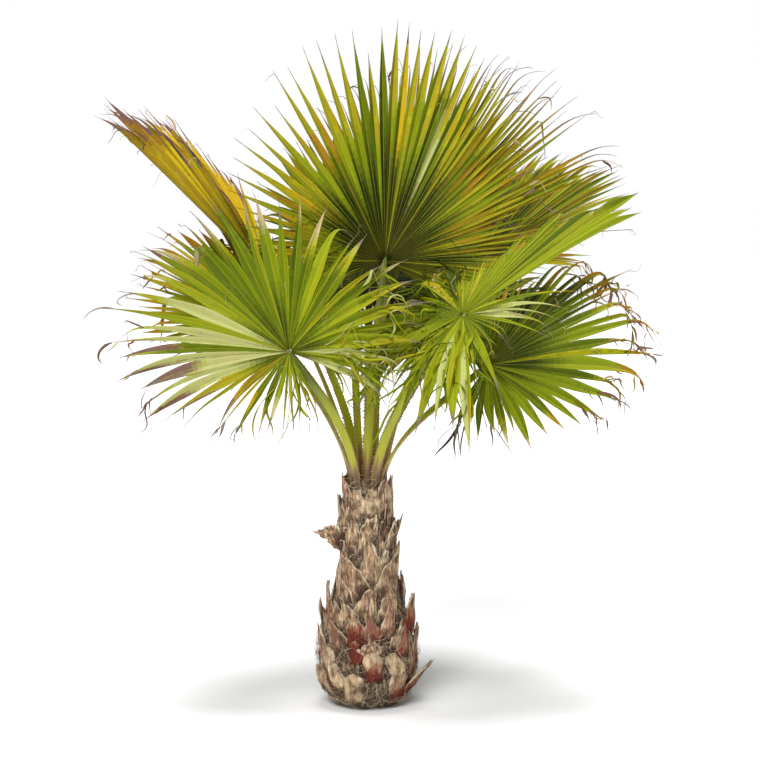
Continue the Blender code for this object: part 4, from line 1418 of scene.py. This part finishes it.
# %% [markdown]
# ## Leaf bases
#
# Each leaf leaves its base on the trunk when it is cut. On the neck the bases are shields that
# clasp the stem, and lower ones lie over the feet of the next in a pattern of diamonds. On the
# bulb they stand up like the scales of an artichoke, rosy or dark red where they have not
# dried, and low on the front they are cut to pale round stumps. The ones in front are placed
# one by one, and the rest follow the golden angle, so that none stands straight above the next.

# %% Places of the bases
GOLDEN_ANGLE = 137.508
SPIRAL_COUNT = 74
FRONT_SIDE = (196, 350)
RIM_COUNT = 9
RIM_FOOT = TRUNK_HEIGHT - 0.100
LOWEST_FOOT = 0.015
SPIRAL_REACH = 0.185
STUMPS_BELOW = 0.13
# Azimuth, height of the foot, turn, length, width, lean and shape, and then how far up it is red
# (-1 for nowhere), how bleached it is and how rosy.
FRONT_BASES = [
    (279, 0.556, -1, 0.084, 0.080, 0, "rim", -1, 0.9, 0.0),
    (240, 0.545, -4, 0.092, 0.050, 0, "rim", -1, 0.5, 0.2),
    (215, 0.560, -4, 0.112, 0.055, 0, "rim", -1, 0.0, 0.4),
    (318, 0.560, -3, 0.100, 0.050, 0, "rim", -1, 0.4, 0.1),
    (345, 0.566, -4, 0.114, 0.060, 0, "rim", -1, 0.0, 0.0),
    (227, 0.439, -6, 0.150, 0.060, -4, "scale", -1, 0.35, 0.2),
    (241, 0.471, -2, 0.118, 0.040, 0, "scale", -1, 0.3, 0.1),
    (284, 0.505, 10, 0.085, 0.028, 3, "scale", -1, 0.8, 0.0),
    (260, 0.490, 20, 0.075, 0.040, 2, "torn", -1, 0.6, 0.0),
    (262, 0.440, 4, 0.093, 0.052, -2, "scale", -1, 0.3, 0.1),
    (320, 0.470, 2, 0.120, 0.060, -5, "torn", -1, 0.1, 0.1),
    (277, 0.355, 3, 0.145, 0.104, -3, "scale", -1, 0.35, 0.15),
    (308, 0.385, -6, 0.095, 0.055, 3, "torn", -1, 0.9, 0.0),
    (260, 0.325, -35, 0.165, 0.100, -5, "scale", -1, 0.3, 0.3),
    (298, 0.310, 27, 0.175, 0.105, -5, "scale", -1, 0.35, 0.1),
    (228, 0.300, -24, 0.120, 0.086, -9, "scale", -1, 0.2, 0.1),
    (340, 0.335, 8, 0.120, 0.080, -12, "scale", -1, 0.2, 0.1),
    (263, 0.262, 10, 0.110, 0.082, -7, "scale", -1, 0.35, 0.15),
    (303, 0.258, 0, 0.100, 0.082, -7, "scale", -1, 0.3, 0.2),
    (250, 0.234, -14, 0.100, 0.070, -4, "scale", -1, 0.45, 0.0),
    (219, 0.226, -20, 0.105, 0.070, -5, "scale", -1, 0.0, 0.5),
    (230, 0.246, -12, 0.075, 0.048, 1, "scale", -1, 0.5, 0.1),
    (237, 0.181, -30, 0.118, 0.074, 2, "scale", -1, 0.2, 0.5),
    (256, 0.190, -4, 0.103, 0.064, 3, "scale", 0.36, 0.3, 0.2),
    (280, 0.200, -8, 0.090, 0.066, 2, "scale", 0.10, 0.1, 1.0),
    (297, 0.207, 3, 0.108, 0.064, 3, "scale", -1, 0.6, 0.5),
    (304, 0.180, 10, 0.076, 0.032, 5, "torn", -1, 0.6, 0.1),
    (331, 0.213, 12, 0.122, 0.060, 1, "scale", 0.35, 0.3, 0.4),
    (349, 0.205, 0, 0.123, 0.064, 0, "scale", 0.2, 0.0, 0.5),
    (318, 0.153, -4, 0.094, 0.068, 3, "scale", 0.15, 0.15, 1.0),
    (340, 0.060, 0, 0.175, 0.062, 2, "scale", 0.25, 0.5, 0.3),
    (354, 0.107, 0, 0.110, 0.070, 2, "scale", 0.2, 0.4, 0.4),
    (203, 0.140, -12, 0.106, 0.070, 1, "scale", 0.1, 0.2, 0.2),
    (216, 0.050, -14, 0.120, 0.070, 2, "scale", 0.1, 0.2, 0.4),
    (258, 0.140, -8, 0.072, 0.076, 1, "scale", 0.75, 0.0, 0.6),
    (276, 0.158, -5, 0.062, 0.080, 7, "torn", -1, 0.2, 0.2),
    (213, 0.110, 12, 0.078, 0.052, 4, "stump", -1, 0.9, 0.0),
    (278, 0.092, 0, 0.092, 0.054, 5, "stump", 0.32, 0.8, 0.1),
    (323, 0.090, -38, 0.100, 0.056, 5, "stump", -1, 1.0, 0.0),
    (318, 0.036, -16, 0.088, 0.060, 5, "stump", 0.25, 0.8, 0.2),
    (238, 0.055, -28, 0.090, 0.054, 4, "stump", -1, 0.8, 0.0),
    (247, 0.012, 8, 0.102, 0.062, 5, "stump", -1, 1.0, 0.0),
    (207, 0.492, -60, 0.072, 0.088, 60, "stub", -1, 0.0, 0.1),
    (333, 0.455, 14, 0.105, 0.080, 13, "rim", -1, 0.0, 0.0),
    (328, 0.012, 12, 0.155, 0.036, 36, "strap", 0.25, 0.0, 0.35),
]


def spiral_bases(random):
    """The bases that the front list leaves out, as rows of the same kind: a spiral of scales,
    some of the low ones cut to stumps, and the rest of the rim. The swell is 0 on the neck and 1
    on the bulb, where bases are shorter, narrower, redder and lean out more."""
    index = np.arange(SPIRAL_COUNT)
    climb = (index / (SPIRAL_COUNT - 1)) ** 1.1
    heights = LOWEST_FOOT + (TRUNK_HEIGHT - SPIRAL_REACH) * climb
    swells = (trunk_radius(heights) - NECK_RADIUS) / (BULB_RADIUS - NECK_RADIUS)
    rows = []
    for number, height, swell in zip(index, heights, swells):
        cut = height < STUMPS_BELOW and random.random() < 0.5
        shape = "stump" if cut else ("torn" if random.random() < 0.15 else "scale")
        red = random.uniform(0.0, 0.4) if swell > 0.35 and random.random() < 0.4 else -1
        size = random.uniform(0.85, 1.15)
        turn = random.uniform(-1, 1) * (28 - 18 * swell)
        length = (0.135 - 0.03 * swell) * size * (0.7 if cut else 1)
        width = (0.088 - 0.014 * swell) * size
        lean = 3 * swell - 8 * ramp(height, 0.17, 0.25)
        bleached = 0.85 if cut else random.uniform(0.1, 0.6)
        rosy = random.uniform(0, 0.9) * swell
        azimuth = number * GOLDEN_ANGLE % 360
        rows.append((azimuth, height, turn, length, width, lean, shape, red, bleached, rosy))
    for number in range(RIM_COUNT):
        azimuth = 360 * (number + 0.3) / RIM_COUNT
        turn, length = random.uniform(-6, 6), random.uniform(0.108, 0.122)
        bleached, rosy = random.uniform(0, 0.6), random.uniform(0, 0.4)
        rows.append((azimuth, RIM_FOOT, turn, length, 0.060, 0, "rim", -1, bleached, rosy))
    low, high = FRONT_SIDE
    return [row for row in rows if not low < row[0] < high]


# %% [markdown]
# A base is a closed shell laid out on the trunk as on a flat sheet, and then wrapped round it.
# The shapes differ in how late the outline narrows, how bluntly it ends, how ragged it is, how
# thick it is at its foot and tip, and how far its keel, its edges and its tip stand out. Bases
# could be carved one by one, but a rule with a few dials gives ninety in a moment.

# %% Shells of the bases
BASE_ROWS = 24
BASE_COLUMNS = 21
NECK_FROM = (0.24, 0.32)
BASE_GAP = 0.004
TUCK = 0.006
SHAPES = {
    "scale": dict(
        power=(1.3, 2.0), end=0.95, foot=0.80, thick=0.013, thin=0.10, keel=(0.05, 0.14),
        flare=(-0.03, 0.05), curl=(-0.1, 0.3), jag=0.11),
    "rim": dict(
        power=(7, 10), end=0.5, foot=0.95, thick=0.009, thin=0.30, keel=(0, 0.03), flare=(-0.02, 0.03),
        curl=(-0.1, 0.1), jag=0.16),
    "torn": dict(
        power=(2.0, 3.5), end=0.7, foot=0.90, thick=0.009, thin=0.15, keel=(0.05, 0.10), flare=(0.02, 0.14),
        curl=(0.1, 0.6), jag=0.30),
    "stump": dict(
        power=(5, 7), end=0.45, foot=0.90, thick=0.026, thin=0.50, keel=(0.10, 0.18), flare=(0, 0.04),
        curl=(-0.1, 0.1), jag=0.06),
    "stub": dict(
        power=(1.2, 1.3), end=0.5, foot=1.0, thick=0.030, thin=0.60, keel=(0, 0.02), flare=(0, 0.02),
        curl=(0, 0.1), jag=0.30),
    "strap": dict(
        power=(6, 8), end=0.8, foot=0.9, thick=0.016, thin=0.60, keel=(0.05, 0.10), flare=(0, 0.05),
        curl=(0, 0.2), jag=0.10),
}


def base_shells(rows, random):
    """Closed shells, (bases, rows, ring, 3), and the shares across and along for the finish.
    On the flat sheet the middle line runs along its turn, the half width falls as one minus a
    power of the share along, and the end is ragged. Height and arc give the place round the
    trunk. The radius is that of the trunk or of a line that leans out from the foot, whichever
    is larger, plus the body, a keel of 1 - u^2, edges that curl and a tip that flares. On the
    neck all of these are less, so that the bases hug it."""
    sizes = np.array([row[:6] for row in rows]).T
    azimuth, height, turn, length, width, lean = sizes[:, :, None, None]
    azimuth, turn, lean = np.radians(azimuth), np.radians(turn), np.radians(lean)

    def shaped(key):
        """A number for each base, drawn from the range that its shape gives."""
        pairs = np.array([np.broadcast_to(SHAPES[row[6]][key], 2) for row in rows], float)
        return random.uniform(pairs[:, 0], pairs[:, 1])[:, None, None]

    v = np.linspace(0, 1, BASE_ROWS)[None, :, None]
    front = np.linspace(-1, 1, BASE_COLUMNS)
    u = np.concatenate([front, front[::-1], front[:1]])[None, None, :]
    outer = np.concatenate([np.ones(BASE_COLUMNS), -np.ones(BASE_COLUMNS), [1]])[None, None, :]
    own = np.arange(len(rows))[:, None, None] * 3.1
    place = np.stack(np.broadcast_arrays(6 * v + own, 1.6 * u, own), axis=-1)
    torn = ripples(place, 3.0, 5)
    ragged = ripples(place, 0.8, 6)
    jag = shaped("jag")
    half = width / 2 * (shaped("foot") + (1 - shaped("foot")) * np.sin(np.minimum(v / 0.35, 1) * math.pi / 2))
    half = half * (1 - 0.99 * v ** shaped("power")) ** shaped("end")
    half = half * (1 + (0.10 * torn + 0.4 * jag * ragged) * np.minimum(v * 3, 1))
    climb = length * v * (1 + jag * (0.5 * torn + 0.5 * ragged) * v)
    leant = width * random.uniform(-0.2, 0.2, own.shape) * v ** 2
    sheet_x = half * u * np.cos(turn) + climb * np.sin(turn) + leant
    sheet_y = climb * np.cos(turn) * np.cos(lean) - half * u * np.sin(turn)
    rise = height + sheet_y
    on_trunk = trunk_radius(np.clip(rise, 0, TRUNK_HEIGHT))
    leaning = trunk_radius(height) + climb * np.sin(lean)
    around = azimuth + sheet_x / (np.maximum(on_trunk, leaning) + BASE_GAP)
    thin = shaped("thin")
    body = shaped("thick") / 2 * (thin + (1 - thin) * (1 - v) ** 1.3)
    body = body * np.sqrt(np.maximum(1 - u ** 4, 0.02))
    hugging = ramp(height, *NECK_FROM)
    body = body * (1 - 0.3 * hugging)
    keel = width * shaped("keel") * (1 - u ** 2) * np.minimum(v * 2.5, 1)
    keel = keel * (1 - 0.6 * v) * (1 - 0.75 * hugging)
    curl = width * shaped("curl") * np.maximum(abs(u) - 0.5, 0) ** 1.5 * ramp(v, 0.25, 0.9)
    flare = length * shaped("flare") * v ** 2.2 * (1 - 0.8 * hugging)
    tuck = TUCK * v * (1 - 0.4 * hugging) - TUCK * (1 - ramp(v, 0.0, 0.15))
    ridge = np.sin(u * random.uniform(14, 26, own.shape) + own + 1.5 * np.sin(5 * v))
    ridge = 0.0008 * ridge + 0.0016 * torn
    radius = np.maximum(on_trunk, leaning) + body * outer + keel + curl + flare + tuck + ridge * (outer > 0)
    points = np.stack([radius * np.cos(around), radius * np.sin(around), np.maximum(rise, 0.001)], axis=-1)
    u_map, v_map = (np.broadcast_to(value, radius.shape) for value in (u, v))
    foot, tip = (points[:, row].mean(axis=1)[:, None, None].repeat(u.size, 2) for row in (0, -1))
    points = np.concatenate([foot, points, tip], axis=1)
    u_map, v_map = (np.concatenate([value[:, :1], value, value[:, -1:]], axis=1) for value in (u_map, v_map))
    return points, u_map, v_map


# %% [markdown]
# The finish of a base reads its own map, across it and from foot to tip, and three numbers of its
# row in the table: how far up it is red, how bleached it is and how rosy. Feet are darkened as
# painted shade, where the tips of the bases below lie over them, and torn edges are pale, partly as
# the fibre's own colour and partly as a painted highlight. Each base could have a material of its
# own, but the numbers are kept on the mesh, so that one material serves them all.

# %% Finish of the bases
PAPER = [
    (0.38, (0.020, 0.010, 0.006)), (0.45, (0.22, 0.138, 0.080)), (0.54, (0.60, 0.410, 0.255)),
    (0.62, (1.00, 0.84, 0.60))]
BLOTCHES = [(0.34, (0.26, 0.20, 0.17)), (0.48, (0.84, 0.78, 0.72)), (0.62, (1.25, 1.20, 1.13))]
FLESH = [(0.35, (0.035, 0.006, 0.004)), (0.50, (0.155, 0.020, 0.012)), (0.65, (0.27, 0.058, 0.034))]
BLEACHED = (0.78, 0.62, 0.40)
ROSY = (0.34, 0.12, 0.085)
# The dark foot colour is painted shade, and the edge colour below it is partly the torn fibre's own pale
# colour and partly a painted highlight.
SHADED_FOOT = (0.065, 0.032, 0.020)
TORN_EDGE_AND_HIGHLIGHT = (0.88, 0.76, 0.55)
WARM = (0.36, 0.095, 0.040)
NONE, MOST, ALL = (0, 0, 0), (0.9, 0.9, 0.9), (1, 1, 1)


def base_finish():
    """Papery bark: fine noise picks the tan and blotches vary its tone. Three ramps of the share up
    the base darken its foot as painted shade and redden its flesh, and one of the share across pales
    its edges, partly as the torn fibre's colour and partly as a painted highlight. Noise shifts all
    four, so that no border is straight."""
    made = plain("bark_base", (0.36, 0.24, 0.14), 0.85)
    tree = made.node_tree
    tree.nodes["Principled BSDF"].inputs["Specular IOR Level"].default_value = 0.25
    across, up = map_parts(tree)

    def attribute(name):
        """One of the numbers of the row, kept on the points of the mesh."""
        node = tree.nodes.new("ShaderNodeAttribute")
        node.attribute_name = name
        return node.outputs["Fac"]

    blotches = noise(made, "Object", (42, 42, 30), 5, 0.6)
    fine = noise(made, "Object", (135, 135, 26), 6, 0.72)
    uneven = shifted(tree, blotches, 0.9)
    along = maths(tree, "ADD", up, uneven)
    papery = laid_over(tree, colour_ramp(tree, fine, PAPER), BLEACHED, attribute("bleached"), 0.6)
    papery = mixed(tree, 1.0, papery, colour_ramp(tree, blotches, BLOTCHES), "MULTIPLY")
    papery = laid_over(tree, papery, ROSY, attribute("rosy"), 0.75)
    # Painted shade: the foot of each base is darkened where the tips of the bases below lie over it.
    shaded_foot_share = colour_ramp(tree, along, [(0.04, ALL), (0.45, NONE)])
    papery = laid_over(tree, papery, SHADED_FOOT, shaded_foot_share, 0.85)
    # The pale edge is partly the torn fibre's own colour and partly a painted highlight along the rim.
    beside = maths(tree, "ADD", maths(tree, "ABSOLUTE", across), maths(tree, "MULTIPLY", uneven, 0.25))
    edge = colour_ramp(tree, beside, [(0.86, NONE), (0.99, (0.85, 0.85, 0.85))])
    papery = mixed(tree, edge, papery, TORN_EDGE_AND_HIGHLIGHT)
    reach = maths(tree, "SUBTRACT", along, attribute("red"))
    warm = colour_ramp(tree, reach, [(0.05, ALL), (0.38, NONE)])
    papery = laid_over(tree, papery, WARM, warm, 0.8)
    bare = colour_ramp(tree, reach, [(0.0, MOST), (0.22, NONE)])
    colour = mixed(tree, bare, papery, colour_ramp(tree, fine, FLESH))
    tree.links.new(colour, tree.nodes["Principled BSDF"].inputs["Base Color"])
    add_bump(made, fine, 0.018)
    return made


random = np.random.default_rng(21)
base_rows = FRONT_BASES + spiral_bases(random)
shells, u_map, v_map = base_shells(base_rows, random)
finish_numbers = np.array([row[7:] for row in base_rows], float).T[:, :, None, None]
finish_values = dict(zip(("red", "bleached", "rosy"), finish_numbers))
bases = new_piece("leaf_bases", shells, [base_finish()], uv=(u_map, v_map), values=finish_values)
weld(bases)
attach(bases, "root")
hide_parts("trunk")
print(len(base_rows), "leaf bases,", len(bases.data.polygons), "faces")

# %% [markdown]
# ## Fibre
#
# Between the bases hangs the torn sheath of old leaves, a net of stiff brown hairs. Each hair
# is a thin tube that lies on the trunk and wanders over it in a random way. Blender's own hair
# would be quicker, but it isn't a mesh, and the model that is handed on holds only meshes.

# %% Fibre
HAIRS = 5200
HAIR_POINTS = 8
HAIR_OFF = 0.022
HAIR_ABOVE = 0.012
HAIR_RADIUS = 0.00045
HAIR_LENGTHS = (0.02, 0.08)
HAIR_FINISH = [
    plain("fibre_dark", (0.07, 0.042, 0.027), 0.9), plain("fibre_brown", (0.26, 0.175, 0.105), 0.9),
    plain("fibre_pale", (0.56, 0.44, 0.28), 0.9)]


def hair_paths(random):
    """Short walks over the trunk's surface: azimuth and height move in a straight line with a
    bend, and the distance from the surface rises and falls once."""
    t = np.linspace(0, 1, HAIR_POINTS)[None, :]
    height = random.uniform(0.01, TRUNK_HEIGHT - 0.01, (HAIRS, 1))
    azimuth = random.uniform(0, TURN, (HAIRS, 1))
    length = random.uniform(*HAIR_LENGTHS, (HAIRS, 1))
    turn = random.uniform(0, TURN, (HAIRS, 1)) + random.uniform(-2.2, 2.2, (HAIRS, 1)) * t
    height = np.clip(height + length * t * np.sin(turn), 0.003, TRUNK_HEIGHT + HAIR_ABOVE)
    azimuth = azimuth + length * t * np.cos(turn) / trunk_radius(height)
    arch = np.sin(math.pi * t * random.uniform(0.5, 1, (HAIRS, 1)))
    reach = HAIR_OFF * (1 - 0.85 * ramp(height, 0.22, 0.34))
    off = 0.001 + random.uniform(0.0, 1.0, (HAIRS, 1)) ** 1.6 * reach * arch
    radius = trunk_radius(np.minimum(height, TRUNK_HEIGHT)) + off
    return np.stack([radius * np.cos(azimuth), radius * np.sin(azimuth), height], axis=-1)


random = np.random.default_rng(31)
paths = hair_paths(random)
radii = np.full((HAIRS, HAIR_POINTS), HAIR_RADIUS) * random.uniform(0.5, 1.6, (HAIRS, 1))
hair_tints = random.integers(0, len(HAIR_FINISH), HAIRS)[:, None, None]
fibre = new_piece("fibre", tubes(paths, radii), HAIR_FINISH, hair_tints)
weld(fibre)
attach(fibre, "root")
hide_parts("trunk")
print(HAIRS, "hairs")

# %% [markdown]
# ## Measure and finish
#
# The box that the looks fill is printed. The looks may not make the plant larger than its
# solids.

# %% Sizes and finish
low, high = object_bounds()
print("looks reach from", [round(v, 3) for v in low], "to", [round(v, 3) for v in high])
